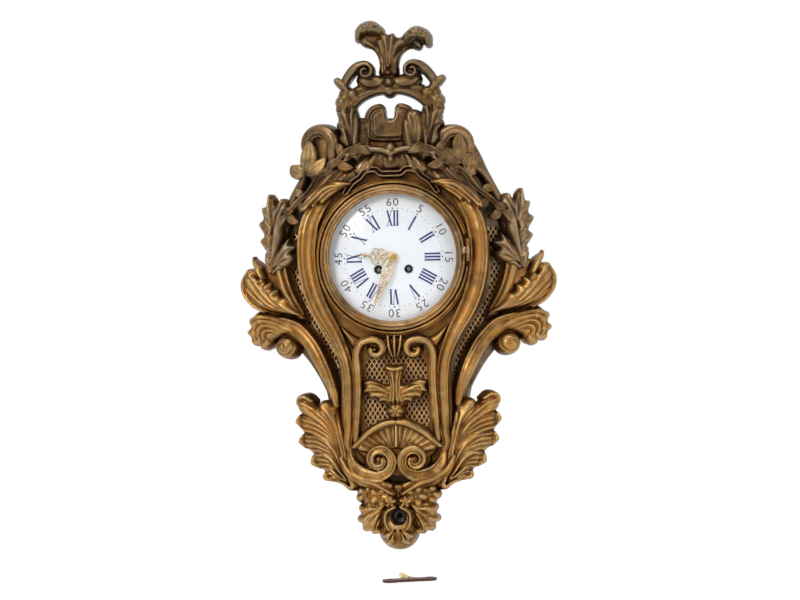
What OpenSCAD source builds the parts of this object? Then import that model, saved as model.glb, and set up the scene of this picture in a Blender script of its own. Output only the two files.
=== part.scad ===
/* [Case] */
// Depth of the case from the wall to its front ground
case_d = 72; // [66:1:84]
// Thickness of the cast case walls
wall = 4; // [3:0.5:5]
// Half width of the flat middle of the case, where the flanks turn back
flank_x = 52; // [48:1:56]
// Angle at which the flanks turn back to the wall
flank_tilt = 25; // [18:1:28]
// Width of the side wings outside the front frame
wing_w = 36; // [32:1:42]
// Half width of the front frame at the waist
waist_w = 60; // [56:1:66]
// Height of the case top above the dial centre
case_top = 139; // [134:1:146]
// Depth of the case bottom below the dial centre
case_low = 262; // [254:1:272]
// Thickness of the front frame plate
plate_t = 6; // [4:0.5:8]
// Width of the moulded band on the front frame
band_w = 18; // [14:1:20]
// Height of the moulded band above the plate
band_h = 14; // [10:1:16]

/* [Grilles] */
// Width of the frame beside the lower grille opening
panel_side_w = 24; // [23:1:28]
// Width of a net cell
cell_w = 7.2; // [6:0.2:10]
// Height of a net cell
cell_h = 11.5; // [10:0.5:16]
// Width of the net wires
wire_w = 1.5; // [1:0.1:2]
// Width of the side grille openings
side_grille_w = 13; // [10:1:14]

/* [Dial] */
// Radius of the dial that shows inside the bezel
sight_r = 70; // [66:0.5:74]
// Width of the bezel ring
bezel_w = 10; // [8:0.5:12]
// Height of the bezel above the front plate
bezel_h = 13; // [12:0.5:15]
// Rise of the enamel dial at its centre
dial_rise = 6.5; // [5:0.5:7.5]
// Rise of the domed glass
glass_rise = 12; // [11:0.5:16]
// Length of the minute hand from the centre
minute_len = 65; // [58:1:66]
// Length of the hour hand from the centre
hour_len = 40; // [36:1:46]

/* [Movement] */
// Radius of the movement plates
plate_r = 46; // [45:0.5:50]
// Distance between the movement plates
plate_gap = 32; // [32:0.5:34]
// Half distance between the winding arbors
wind_x = 16.7; // [16.7:0.1:17.4]
// Depth of the winding arbors below the dial centre
wind_y = 13; // [12.5:0.1:13.5]
// Length of the pendulum from its spring to the middle of the bob
pendulum_l = 196; // [180:1:206]
// Radius of the pendulum bob
bob_r = 20; // [16:1:24]
// Radius of the bell mouth
bell_r = 37; // [34:0.5:37.5]

/* [Hanging] */
// Height of the hanging hole above the dial centre
hang_y = 122; // [118:1:124]
// Radius of the hanging hole
hang_r = 5; // [4:0.5:6]

/* [Key] */
// Width across the wings of the winding key
key_w = 60; // [50:1:66]
// Length of the key pipe
key_l = 34; // [28:1:40]
// Distance of the surface under the key below the dial centre
key_floor = 360; // [346:1:372]

/* [Hidden] */
$fn = 48;

// Clearance between pieces that move past each other
gap = 0.3;
// Radial clearance of a pivot in its hole
run = 0.05;
// Small overlap for cuts
cut = 1;

// Radii around the dial
bezel_r = sight_r + bezel_w;
opening_r = bezel_r - 4;
band_r = bezel_r + 6.6;
frame_r = band_r + band_w - 1.6;
rebate_r = sight_r + 3;

// Depths, measured from the wall
front_d = case_d + plate_t;
bezel_back = front_d + 2.8;
bezel_front = bezel_back + bezel_h;
glass_seat = bezel_back + 6;
glass_t = 1.8;
dial_t = 2;
dial_edge = case_d + dial_t;
dial_front = dial_edge + dial_rise;
hour_d = dial_front + 1.5;
minute_d = hour_d + 2.6;
hand_t = 0.8;
move_front = case_d - 6;
move_t = 2;
inner_front = move_front - move_t;
inner_back = inner_front - plate_gap;
move_back = inner_back - move_t;
rod_d = move_back - 6;
bell_d = move_back - 10;

// Half width of the lower grille opening
panel_w = waist_w - panel_side_w;

// Outline points of the right half of the front frame, from the top middle down
frame_half = [
    [0, case_top - 7], [30, case_top - 8], [46, case_top - 15], [flank_x + 3, case_top - 35],
    [frame_r * 0.66, frame_r * 0.81], [frame_r * 0.83, frame_r * 0.6], [frame_r * 0.95, frame_r * 0.36],
    [frame_r, 8], [frame_r - 1, -24], [frame_r - 9, -54], [waist_w + 14, -84], [waist_w + 3, -110],
    [waist_w, -136], [waist_w + 1, -168], [waist_w - 3, -200], [44, 18 - case_low + 22],
    [20, 26 - case_low], [0, 22 - case_low]
];
// Outline points of the right half of the case at the wall
wall_half = [
    [0, case_top], [40, case_top + 1], [70, case_top + 3], [90, case_top - 13],
    [frame_r * 0.66 + 34, 100], [frame_r * 0.83 + 32, 70], [frame_r * 0.95 + 34, 38],
    [frame_r + wing_w, 4], [frame_r + wing_w, -32], [frame_r - 9 + wing_w + 4, -66],
    [waist_w + 14 + wing_w + 6, -94], [waist_w + 3 + wing_w, -114], [waist_w + 25, -136],
    [waist_w + 17, -158], [waist_w + 29, -182], [waist_w + 30, -208], [72, 26 - case_low],
    [40, 8 - case_low], [0, -case_low]
];

function mid(a, b, t) = a + (b - a) * t;
function bend(a, b, c, d, t) =
    0.5 * (2 * b + (c - a) * t + (2 * a - 5 * b + 4 * c - d) * t * t + (3 * b - a - 3 * c + d) * t * t * t);
function at(list, i) = list[max(0, min(len(list) - 1, i))];
// Smooth open line through a few points, n steps between each pair
function smooth(p, n) = concat(
    [for (i = [0:len(p) - 2]) for (k = [0:n - 1]) bend(at(p, i - 1), p[i], p[i + 1], at(p, i + 2), k / n)],
    [p[len(p) - 1]]);
function sided(s, p) = [for (q = p) [s * q[0], q[1]]];
function flip(p) = sided(-1, p);
function turned(p) = [for (i = [len(p) - 1:-1:0]) p[i]];
// Closed outline from a right half that starts and ends on the middle line
function both(half) = let (l = flip(turned(half))) concat(half, [for (i = [1:len(l) - 2]) l[i]]);
function unit(v) = v / max(norm(v), 0.000001);
function heading(p, i) = unit(at(p, i + 1) - at(p, i - 1));
function left_of(v) = [-v[1], v[0]];
// Closed outline moved out by t, or in where t is negative
function ring_out(p, t) = let (n = len(p))
    [for (i = [0:n - 1]) p[i] + t * left_of(unit(p[(i + 1) % n] - p[(i + n - 1) % n]))];
function spin(c, r, a) = c + r * [cos(a), sin(a)];
// Spiral about c from radius r0 at angle a0 to r1 at a1
function spiral(c, r0, r1, a0, a1, n) = [for (k = [0:n]) spin(c, mid(r0, r1, k / n), mid(a0, a1, k / n))];
// Value at share t of the way along a short list
function along(list, t) = let (s = t * (len(list) - 1), i = min(floor(s), len(list) - 2))
    len(list) == 1 ? list[0] : mid(list[i], list[i + 1], s - i);
// Meeting point of two circles, on the left of the line from a to b
function meet(a, ra, b, rb) = let (d = norm(b - a), s = (ra * ra - rb * rb + d * d) / (2 * d))
    a + s * unit(b - a) + sqrt(ra * ra - s * s) * left_of(unit(b - a));
function angle_to(a, b) = atan2(b[1] - a[1], b[0] - a[0]);

frame_line = both(smooth(frame_half, 2));
wall_line = both(smooth(wall_half, 2));
// Height and half width pairs down the side of the front frame, lowest first
frame_side = [for (p = turned(smooth(frame_half, 3))) if (p[1] < 70 && p[1] > -210) [p[1], p[0]]];
function frame_x(y) = lookup(y, frame_side);
function on_flank_u(x) = (x - flank_x) / cos(flank_tilt);

// Side grille opening: starts a step outside the frame, follows it and narrows at its foot
grille_step = 3;
grille_top = 34;
grille_end = -150;
grille_taper = 60;
grille_foot = 0.25;
grille_ys = [for (k = [0:12]) mid(grille_top, grille_end, k / 12)];
function grille_w(y) = side_grille_w * mid(grille_foot, 1, min(1, (y - grille_end) / grille_taper));
function side_band(grow) = concat(
    [for (y = grille_ys) [frame_x(y) + grille_step - grow, y]],
    [for (y = turned(grille_ys)) [frame_x(y) + grille_step + grille_w(y) + grow, y]]);

// Lower grille opening
panel_top = -106;
panel_low = -192;
panel_half = [[0, panel_top], [panel_w - 6, panel_top - 2], [panel_w - 2, panel_top - 12],
    [panel_w, panel_low + 10], [panel_w - 4, panel_low + 4], [0, panel_low + 4]];

// Train: tooth counts and modules
tooth_m = 0.5;
fine_m = 0.4;
barrel_z = 64;
pinion_z = 10;
second_z = 60;
centre_z = 70;
third_z = 64;
escape_z = 8;
escape_teeth = 30;
strike_z = 52;
pin_z = 8;
fly_wheel_z = 48;
fly_m = 0.32;
cannon_z = 12;
minute_z = 36;
minute_pinion_z = 10;
hour_z = 40;
motion_c = tooth_m * (cannon_z + minute_z) / 2;
hour_m = 2 * motion_c / (minute_pinion_z + hour_z);

function centres(m, za, zb) = m * (za + zb) / 2;
hub = [0, 0];
going_at = [wind_x, -wind_y];
strike_at = [-wind_x, -wind_y];
second_at = meet(hub, centres(tooth_m, second_z, pinion_z), going_at, centres(tooth_m, barrel_z, pinion_z));
strike_two_at = flip([second_at])[0];
escape_at = [0, 29];
third_at = meet(hub, centres(fine_m, centre_z, pinion_z), escape_at, centres(fine_m, third_z, escape_z));
pallet_at = [0, 40];
pin_at = spin(strike_two_at, centres(tooth_m, strike_z, pin_z), 120);
fly_at = spin(pin_at, centres(fly_m, fly_wheel_z, pin_z), 200);
minute_at = [0, motion_c];
hammer_at = [-34, -2];
bell_at = [0, -4];

// The clock is drawn lying on its back and then stood up on its hanging hole
module hung() translate([0, 0, -hang_y]) rotate([90, 0, 0]) children();
module side(right) mirror([right ? 0 : 1, 0, 0]) children();
module slab(d0, d1) translate([0, 0, d0]) linear_extrude(d1 - d0) children();
module post(p, r, d0, d1) translate([p[0], p[1], d0]) cylinder(h = d1 - d0, r = r);
module bored(p, r, hole, d0, d1) {
    difference() {
        post(p, r, d0, d1);
        post(p, hole, d0 - cut, d1 + cut);
    }
}

// Plan of the case front, moved in by t, running the full height
module bay(t) {
    turn = flank_x - t * (1 / cos(flank_tilt) - 1) / tan(flank_tilt);
    reach = turn + (case_d - t + cut) / tan(flank_tilt);
    rotate([90, 0, 0])
        linear_extrude(4 * case_low, center = true)
            polygon([[-reach, -cut], [reach, -cut], [turn, case_d - t], [-turn, case_d - t]]);
}

// Local frame on a flank: x runs out along it, y up, z away from it
module on_flank() translate([flank_x, 0, case_d]) rotate([0, flank_tilt, 0]) children();
function fl(p) = [for (q = p) [on_flank_u(q[0]), q[1]]];

// Space of the front frame, for what stands beside it
module frame_room() slab(-cut, front_d + 40) polygon(ring_out(frame_line, gap));

// Ribbon with a flat back along a line of points; w and h are short lists of sizes
ribbon_form = [[-0.5, 0], [-0.5, 0.5], [-0.24, 1], [0.24, 1], [0.5, 0.5], [0.5, 0]];
module ribbon(p, w, h) {
    last = len(p) - 1;
    skin = [for (i = [0:last])
        let (n = left_of(heading(p, i)), a = along(w, i / last), b = along(h, i / last))
        for (f = ribbon_form) [p[i][0] + n[0] * f[0] * a, p[i][1] + n[1] * f[0] * a, f[1] * b]];
    caps = [for (k = [1:4]) each [[0, k + 1, k], [6 * last, 6 * last + k, 6 * last + k + 1]]];
    walls = [for (i = [0:last - 1]) for (k = [0:5]) let (a = 6 * i + k, b = 6 * i + (k + 1) % 6)
        each [[a, b, b + 6], [a, b + 6, a + 6]]];
    polyhedron(skin, concat(caps, walls));
}
// One lobe of a leaf between two points
module lobe(a, b, ra, rb, ha, hb) {
    hull() {
        translate([a[0], a[1], 0]) cylinder(h = ha, r1 = ra, r2 = ra * 0.5, $fn = 6);
        translate([b[0], b[1], 0]) cylinder(h = hb, r1 = rb, r2 = rb * 0.5, $fn = 6);
    }
}
// Acanthus leaf: a ribbed spine with n lobes on each side, reach out from it
module leaf(p, w, h, n, reach, sides = [-1, 1]) {
    s = smooth(p, 2);
    last = len(s) - 1;
    ribbon(s, w, h);
    for (k = [0:n - 1]) {
        i = round(mid(0.12, 0.86, k / max(n - 1, 1)) * last);
        v = heading(s, i);
        r = along(reach, i / last);
        for (m = sides)
            lobe(s[i], s[i] + r * (m * left_of(v) + 0.75 * v), r * 0.34, r * 0.16,
                along(h, i / last) * 0.9, along(h, i / last) * 0.6);
    }
}
// Scroll end: a ball on a rolled ribbon
module scroll_ball(c, r, h) translate([c[0], c[1], 0]) cylinder(h = h, r1 = r, r2 = r * 0.5, $fn = 12);

// Clock tooth outline; wheels and pinions differ in their tooth widths
wheel_form = [0.9, 1.3, 0.40, 0.16, 0.52];
pinion_form = [0.75, 1.45, 0.34, 0.14, 0.40];
module teeth(m, z, form, phase) {
    r = m * z / 2;
    pitch = 360 / z;
    steps = [[-form[1], -form[4]], [0, -form[2]], [form[0], -form[3]],
        [form[0], form[3]], [0, form[2]], [-form[1], form[4]]];
    polygon([for (i = [0:z - 1]) for (s = steps) spin([0, 0], r + s[0] * m, phase + (i + s[1] / 2) * pitch)]);
}
// Crossed-out wheel at p with a tooth pointing along phase
arm_w = 1.8;
module wheel(p, m, z, phase, d0, d1, arms = 4, bore = 0) {
    rim = m * z / 2 - 4.5 * m;
    boss = max(2.6, bore + 1.4);
    translate([p[0], p[1], d0])
        linear_extrude(d1 - d0)
            difference() {
                teeth(m, z, wheel_form, phase);
                difference() {
                    circle(rim);
                    circle(boss);
                    for (k = [0:arms - 1])
                        rotate(k * 360 / arms + 20) translate([0, -arm_w / 2]) square([rim + 1, arm_w]);
                }
                if (bore > 0) circle(bore);
            }
}
// Pinion at p with a space facing the wheel at angle phase
module pinion(p, m, z, phase, d0, d1) {
    translate([p[0], p[1], d0]) linear_extrude(d1 - d0) teeth(m, z, pinion_form, phase + 180 / z);
}
// Arbor from plate to plate with its two pivots
module arbor(p, r) {
    post(p, r, inner_back + gap, inner_front - gap);
    post(p, pivot_r, move_back, move_front);
}
pivot_r = 0.7;

// Case

module case_shell() {
    color("darkgoldenrod")
        difference() {
            union() {
                intersection() {
                    slab(0, case_d) polygon(wall_line);
                    bay(0);
                }
                slab(0, case_d) polygon(frame_line);
            }
            intersection() {
                slab(-cut, case_d) polygon(ring_out(wall_line, -wall));
                bay(wall);
            }
            slab(-cut, case_d + cut) polygon(ring_out(frame_line, -wall));
            for (right = [true, false]) side(right) slab(0, case_d + cut) polygon(side_band(0));
        }
}

module front_plate() {
    color("goldenrod")
        slab(case_d, front_d)
            difference() {
                polygon(frame_line);
                circle(opening_r);
                polygon(both(panel_half));
            }
}

// Middle of the moulded band beside the bezel, and its whole line from the top curl down
band_mid = band_r + band_w / 2;
band_line = concat(
    spiral([frame_r * 0.71, frame_r * 0.63], 3, 9, 250, 20, 5),
    smooth([[frame_r * 0.79, frame_r * 0.5], spin(hub, band_mid + 2, 22), spin(hub, band_mid + 0.6, 4),
        spin(hub, band_mid, -16), [frame_r - 20, -56], [waist_w + 4, -84], [waist_w - 7, -110],
        [waist_w - 9, -136], [waist_w - 8, -168], [waist_w - 9, -190]], 2));
module frame_band(right) {
    color("goldenrod")
        side(right) translate([0, 0, front_d]) {
            ribbon(band_line, [6, 12, band_w, band_w, band_w - 2, 13, 12, 12],
                [8, band_h, band_h, band_h, band_h, 9]);
            scroll_ball([waist_w - 10, -194], 8, 12);
        }
}
module left_frame_band() frame_band(false);
module right_frame_band() frame_band(true);

// Moulded collar over the bezel and the fluted hood above it
collar_r = bezel_r + 7;
hood_r = case_top - 22;
hood_n = 9;
module top_collar() {
    color("goldenrod") {
        slab(front_d, front_d + 8)
            intersection() {
                difference() {
                    circle(collar_r + 8);
                    circle(collar_r);
                }
                translate([-46, 0]) square([92, 2 * collar_r]);
            }
        for (k = [0:hood_n - 1]) {
            a = mid(118, 62, k / (hood_n - 1));
            translate([0, 0, front_d])
                lobe(spin(hub, collar_r + 9, a), spin(hub, hood_r, a), 5, 4, 6, 12);
        }
    }
}

crest_back = front_d;
arch_y = case_top + 9;
arch_r = 33;
scroll_y = arch_y + 56;
plume_y = scroll_y + 46;
module crest() {
    color("darkgoldenrod")
        translate([0, 0, crest_back]) {
            // Cartouche with a notched top
            for (s = [-1, 1]) {
                lobe([s * 4, arch_y - 16], [s * 13, arch_y + 2], 8, 9, 14, 16);
                lobe([s * 13, arch_y], [s * 15, arch_y + 13], 8, 7, 16, 13);
                lobe([s * 13, arch_y - 15], [s * 34, arch_y - 8], 8, 8, 12, 14);
                // Leaves that wrap the arch
                lobe([s * 36, arch_y - 4], [s * 44, arch_y + 16], 9, 8, 14, 16);
                lobe([s * 40, arch_y + 14], [s * 55, arch_y + 30], 8, 4, 16, 10);
                lobe([s * 40, arch_y + 8], [s * 56, arch_y + 10], 7, 3, 14, 8);
                lobe([s * 40, arch_y + 22], [s * 42, arch_y + 40], 7, 4, 14, 9);
                // Top volutes and their arcs
                ribbon(sided(s, concat(
                    smooth([[38, arch_y + 28], [42, scroll_y - 12], [41, scroll_y - 2]], 2),
                    spiral([27, scroll_y], 11, 7, 25, 290, 8))), [8, 8, 7, 5], [12, 14, 12, 12]);
                scroll_ball([s * 27, scroll_y], 5, 15);
                // Plume curls
                leaf(sided(s, [[3, scroll_y - 8], [6, scroll_y + 14], [14, plume_y - 12], [28, plume_y + 2],
                    [37, plume_y - 6]]), [10, 9, 9, 9, 6], [14, 14, 15, 12], 4, [5, 7, 9, 8]);
                scroll_ball([s * 29, plume_y - 6], 8, 15);
            }
            ribbon(spiral([0, arch_y], arch_r + 4, arch_r + 4, 172, 8, 14), [8], [14]);
            lobe([0, scroll_y - 12], [0, scroll_y + 18], 9, 7, 14, 12);
        }
}

// Side castings on the flanks
wing_x = frame_r + wing_w;
module wing_form() {
    on_flank() {
        // Ear scroll
        ribbon(fl(spiral([70, 120], 20, 18, -35, 200, 11)), [9, 13, 12], [12]);
        // Edge rail between the ear and the shoulder
        ribbon(fl(smooth([[88, 108], [101, 95], [116, 70], [wing_x - 14, 42], [wing_x - 14, 20]], 2)),
            [8], [8]);
        // Shoulder leaf
        leaf(fl([[wing_x - 22, 2], [wing_x - 15, 24], [wing_x - 9, 46], [wing_x - 6, 74]]), [13, 14, 10, 4],
            [10, 12, 10, 6], 4, [8, 13, 13, 6]);
        // Post, side rail and its foot at the waist
        ribbon(fl(smooth([[wing_x - 14, 26], [wing_x - 14, -4], [wing_x - 20, -34], [wing_x - 30, -64],
            [waist_w + 36, -92], [waist_w + 24, -116], [waist_w + 17, -138], [waist_w + 12, -154]], 2)),
            [12, 15, 16, 15, 14, 12], [10, 12, 14, 13, 10]);
        // Upper hip leaf
        leaf(fl([[wing_x - 30, -64], [wing_x - 8, -50], [wing_x + 12, -28], [wing_x + 16, 0]]),
            [12, 18, 16, 6], [12, 16, 14, 8], 5, [10, 15, 17, 8]);
        // Lower hip whorl and its ball
        leaf(fl([[wing_x - 30, -72], [wing_x - 8, -64], [wing_x + 14, -68], [wing_x + 12, -88],
            [wing_x - 6, -98]]), [12, 15, 14, 13, 10], [12, 16, 15, 14], 5, [8, 12, 12, 8]);
        translate([on_flank_u(wing_x - 14), -101, 0]) scroll_ball([0, 0], 13, 17);
    }
}
module wing(right) {
    color("goldenrod")
        side(right)
            difference() {
                wing_form();
                frame_room();
            }
}
module left_wing() wing(false);
module right_wing() wing(true);

sprig_seat = 14;
module sprig(right) {
    color("darkgoldenrod")
        side(right)
            difference() {
                on_flank() translate([0, 0, sprig_seat]) {
                    // Stem with slender leaves
                    ribbon(fl(smooth([[44, 114], [66, 97], [90, 72], [113, 50]], 3)), [5, 5, 4], [5]);
                    for (q = [[56, 106, 50, 90], [74, 89, 62, 78], [78, 86, 96, 92], [96, 66, 84, 56],
                        [102, 60, 116, 66], [112, 50, 124, 42]])
                        lobe(fl([[q[0], q[1]]])[0], fl([[q[2], q[3]]])[0], 3.4, 2, 5, 4);
                    // Three-lobed leaf over the ear
                    for (q = [[84, 132], [98, 109], [68, 116]])
                        lobe(fl([[86, 92]])[0], fl([q])[0], 4, 6, 5, 6);
                }
                frame_room();
            }
}
module left_sprig() sprig(false);
module right_sprig() sprig(true);

module flank_leaf(right) {
    color("goldenrod")
        side(right)
            difference() {
                on_flank() {
                    leaf(fl([[waist_w - 2, -232], [waist_w + 14, -206], [waist_w + 26, -184],
                        [waist_w + 42, -164], [waist_w + 50, -154]]),
                        [14, 20, 22, 16, 6], [10, 16, 18, 14, 8], 5, [10, 16, 17, 12, 6]);
                    leaf(fl([[waist_w + 6, -208], [waist_w + 14, -228], [waist_w + 4, -246],
                        [waist_w - 6, -254]]),
                        [14, 18, 14, 6], [10, 14, 12, 6], 3, [9, 13, 10, 6]);
                }
                frame_room();
                wing_form();
            }
}
module left_flank_leaf() flank_leaf(false);
module right_flank_leaf() flank_leaf(true);

module panel_scrolls() {
    color("goldenrod")
        translate([0, 0, front_d]) {
            for (s = [-1, 1]) {
                ribbon(sided(s, concat(
                    turned(spiral([panel_w - 14, panel_top + 4], 8.5, 6, 50, 320, 8)),
                    smooth([[panel_w - 2, panel_top + 8], [panel_w + 3, panel_top - 2],
                        [panel_w + 4, panel_top - 30], [panel_w + 4, panel_low + 22],
                        [panel_w + 4, panel_low + 6]], 2))), [5, 6, 7, 7, 7], [8]);
                lobe([s * (panel_w - 14), panel_top + 4], [s * (panel_w - 16), panel_top + 3], 4, 4, 9, 9);
            }
            lobe([0, panel_top + 12], [0, panel_top - 6], 9, 5, 9, 6);
        }
}

fan_y = panel_low - 12;
volute_y = fan_y - 18;
volute_x = 20.5;
base_half = waist_w - 8;
module base_scrolls() {
    color("goldenrod")
        translate([0, 0, front_d]) {
            for (s = [-1, 1]) {
                ribbon(sided(s, spiral([volute_x, volute_y], 12.5, 7, 80, -220, 9)), [9, 8, 6], [14, 16]);
                scroll_ball([s * volute_x, volute_y], 6, 17);
                ribbon(sided(s, smooth([[10, volute_y - 14], [base_half - 22, volute_y - 14],
                    [base_half - 8, volute_y - 2], [base_half, volute_y + 14]], 2)), [8, 9, 7], [12, 12, 8]);
                // Rim of the shell
                ribbon(sided(s, smooth([[5.5, panel_low + 6], [20, panel_low + 6],
                    [base_half - 18, panel_low - 2], [base_half - 11, panel_low - 8]], 2)),
                    [5, 6, 5], [12, 12, 9]);
            }
            // Gadroons that radiate under the rim
            for (k = [0:6]) {
                a = mid(150, 30, k / 6);
                c = [0, volute_y + 6];
                lobe(spin(c, 10, a), spin(c, a == 90 ? 19 : 24, a), 3, 4, 6, 9);
            }
        }
}

spray_y = -168;
module grille_spray() {
    color("goldenrod")
        translate([0, 0, front_d]) {
            ribbon([[0, panel_low + 0.6], [0, spray_y - 20], [0, spray_y - 10], [0, spray_y]], [5], [7]);
            for (s = [-1, 1]) {
                lobe([0, spray_y + 6], [s * 24, spray_y + 26], 7, 5, 9, 10);
                lobe([s * 14, spray_y + 18], [s * 31, spray_y + 26], 4, 2, 9, 6);
                lobe([s * 3, spray_y + 10], [s * 10, spray_y + 34], 6, 3, 10, 7);
            }
            lobe([0, spray_y + 10], [0, spray_y + 37], 6, 3, 10, 7);
            lobe([0, spray_y - 6], [0, spray_y + 4], 8, 9, 14, 14);
        }
}

// Hanging cluster of leaves and flowers under the case
pendant_y = -case_low - 30;
module pendant() {
    color("darkgoldenrod")
        translate([0, 0, case_d]) {
            for (s = [-1, 1]) {
                lobe([s * 6, pendant_y + 32], [s * 26, pendant_y + 36], 9, 10, 12, 13);
                lobe([s * 16, pendant_y + 20], [s * 34, pendant_y + 24], 10, 9, 13, 10);
                lobe([s * 12, pendant_y + 6], [s * 35, pendant_y - 2], 10, 7, 12, 9);
                lobe([s * 8, pendant_y - 4], [s * 24, pendant_y - 18], 9, 7, 12, 10);
                lobe([s * 12, pendant_y + 42], [s * 40, pendant_y + 42], 8, 5, 9, 7);
            }
            ribbon(spiral([0, pendant_y + 6], 13, 13, 0, 360, 12), [9], [16]);
            lobe([0, pendant_y - 12], [0, pendant_y - 20], 14, 9, 18, 14);
        }
}

// Grilles

module net_cell() {
    a = (cell_w - wire_w) / 2;
    b = (cell_h - wire_w * cell_h / cell_w) / 2;
    polygon([[a, 0], [0, b], [-a, 0], [0, -b]]);
}
net_t = 1;
net_rim = 3;
// Least distance from the middle of a cell to the edge of its opening
cell_edge = 2.5;
panel_net_half = [[0, panel_top + net_rim], [panel_w - 2, panel_top + net_rim],
    [panel_w + net_rim, panel_top - 10], [panel_w + net_rim, panel_low - net_rim], [0, panel_low - net_rim]];
module lower_grille() {
    color("goldenrod")
        slab(case_d - net_t, case_d)
            difference() {
                polygon(both(panel_net_half));
                for (i = [-20:20]) for (j = [-20:20])
                    let (c = [i * cell_w / 2, (panel_top + panel_low) / 2 + j * cell_h / 2])
                        if ((i + j) % 2 == 0 && abs(c[0]) < panel_w - cell_w / 2
                            && c[1] < panel_top - cell_h / 2 && c[1] > panel_low + cell_h / 2)
                            translate(c) net_cell();
            }
}
module side_net(right) {
    color("goldenrod")
        side(right)
            on_flank()
                slab(-wall - net_t, -wall)
                    difference() {
                        polygon(fl(side_band(net_rim)));
                        for (i = [0:40]) for (j = [-40:40])
                            let (u = i * cell_w / 2, y = j * cell_h / 2, x = flank_x + u * cos(flank_tilt),
                                e = frame_x(y) + grille_step)
                                if ((i + j) % 2 == 0 && y < grille_top - cell_h / 2
                                    && y > grille_end + cell_h / 2 && x > e + cell_edge
                                    && x < e + grille_w(y) - cell_edge)
                                    translate([u, y]) net_cell();
                    }
}
module left_grille() side_net(false);
module right_grille() side_net(true);

// Cloth behind the three nets
cloth_t = 0.6;
module grille_backings() {
    color("saddlebrown") {
        slab(case_d - net_t - cloth_t, case_d - net_t) polygon(both(panel_net_half));
        for (right = [true, false])
            side(right)
                on_flank()
                    slab(-wall - net_t - cloth_t, -wall - net_t) polygon(fl(side_band(net_rim)));
    }
}

// Nuts on the back of the front plate and inside the flanks
nut_r = 4.5;
nut_h = 4;
plate_nuts_half = [[28, 104], [waist_w - 14, -120], [waist_w - 14, -180], [14, -222]];
plate_nuts = concat(plate_nuts_half, flip(plate_nuts_half));
flank_nuts = [[74, 118], [116, 56], [wing_x - 8, -48], [waist_w + 31, -102], [waist_w + 12, -206]];
module nut(p, d0) translate([p[0], p[1], d0]) cylinder(h = nut_h, r = nut_r, $fn = 6);
module case_nuts() {
    color("peru") {
        for (q = plate_nuts) nut(q, case_d - nut_h);
        for (right = [true, false]) for (q = fl(flank_nuts))
            side(right) on_flank() nut(q, -wall - nut_h);
    }
}

hanger_t = 3;
hanger_w = 48;
hanger_low = 14;
module hanger_plate() {
    color("dimgray")
        slab(0, hanger_t)
            difference() {
                translate([-hanger_w / 2, hang_y - hanger_low])
                    square([hanger_w, case_top - wall - hang_y + hanger_low]);
                translate([0, hang_y]) circle(hang_r);
            }
}

// Bezel and its hinge

hinge_x = bezel_r + 3.2;
hinge_d = bezel_front + 1;
hinge_y = 6;
knuckle_r = 2.2;
pin_r = 1.1;
knuckle_l = 8;
lug_x = 1.7;
module hinge_rod(y0, l, r) translate([hinge_x, y0, hinge_d]) rotate([-90, 0, 0]) cylinder(h = l, r = r);
module knuckle(y0, l) hinge_rod(y0, l, knuckle_r);
module pin_bore(r) hinge_rod(hinge_y - 2 * knuckle_l, 4 * knuckle_l, r);
module dial_surround() {
    color("goldenrod")
        difference() {
            union() {
                slab(front_d, bezel_back - gap)
                    difference() {
                        circle(bezel_r + 4);
                        circle(opening_r);
                    }
                for (s = [-1, 1]) {
                    y0 = hinge_y + s * (knuckle_l + gap) - knuckle_l / 2;
                    knuckle(y0, knuckle_l);
                    translate([hinge_x - lug_x, y0, front_d]) cube([2 * lug_x, knuckle_l, hinge_d - front_d]);
                }
            }
            pin_bore(pin_r);
        }
}
module hinge_pin() {
    color("gray")
        hinge_rod(hinge_y - 1.5 * knuckle_l - gap, 3 * knuckle_l + 2 * gap, pin_r);
}
bezel_profile = [[rebate_r, bezel_back], [bezel_r, bezel_back], [bezel_r, bezel_back + bezel_h * 0.62],
    [bezel_r - 1.6, bezel_front - 1.6], [bezel_r - 4, bezel_front], [bezel_r - 7, bezel_front - 0.8],
    [sight_r, bezel_front - 3.6], [sight_r, glass_seat], [rebate_r, glass_seat]];
module bezel() {
    color("goldenrod")
        difference() {
            union() {
                rotate_extrude($fn = 96) polygon(bezel_profile);
                knuckle(hinge_y - knuckle_l / 2, knuckle_l);
                translate([bezel_r - 5, hinge_y - knuckle_l / 2, bezel_front - 3.4])
                    cube([hinge_x - bezel_r + 5, knuckle_l, 3.2]);
            }
            pin_bore(pin_r + run);
        }
}
dome_n = 8;
function dome(r0, d0, rise) = [for (k = [0:dome_n]) let (s = k / dome_n) [r0 * s, d0 + rise * (1 - s * s)]];
module bezel_glass() {
    color("aliceblue", 0.3)
        rotate_extrude($fn = 96)
            polygon(concat(dome(sight_r - gap, glass_seat, glass_rise),
                [[rebate_r - 0.2, glass_seat], [rebate_r - 0.2, glass_seat - glass_t]],
                turned(dome(sight_r - gap, glass_seat - glass_t, glass_rise))));
}

// Dial and hands

dial_r = opening_r - 0.5;
ring_in = 42;
ring_t = 1.5;
module dial_ring() {
    color("gold") bored(hub, opening_r + 4, ring_in, case_d - ring_t, case_d);
}
pipe_r = 3.2;
wind_hole = 4;
module dial() {
    color("white")
        difference() {
            rotate_extrude($fn = 96)
                polygon(concat(dome(dial_r, dial_edge, dial_rise),
                    turned(dome(dial_r, dial_edge - dial_t, dial_rise))));
            post(hub, pipe_r + 0.8, case_d - cut, dial_front + cut);
            for (q = [going_at, strike_at]) post(q, wind_hole, case_d - cut, dial_front + cut);
        }
}

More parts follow.
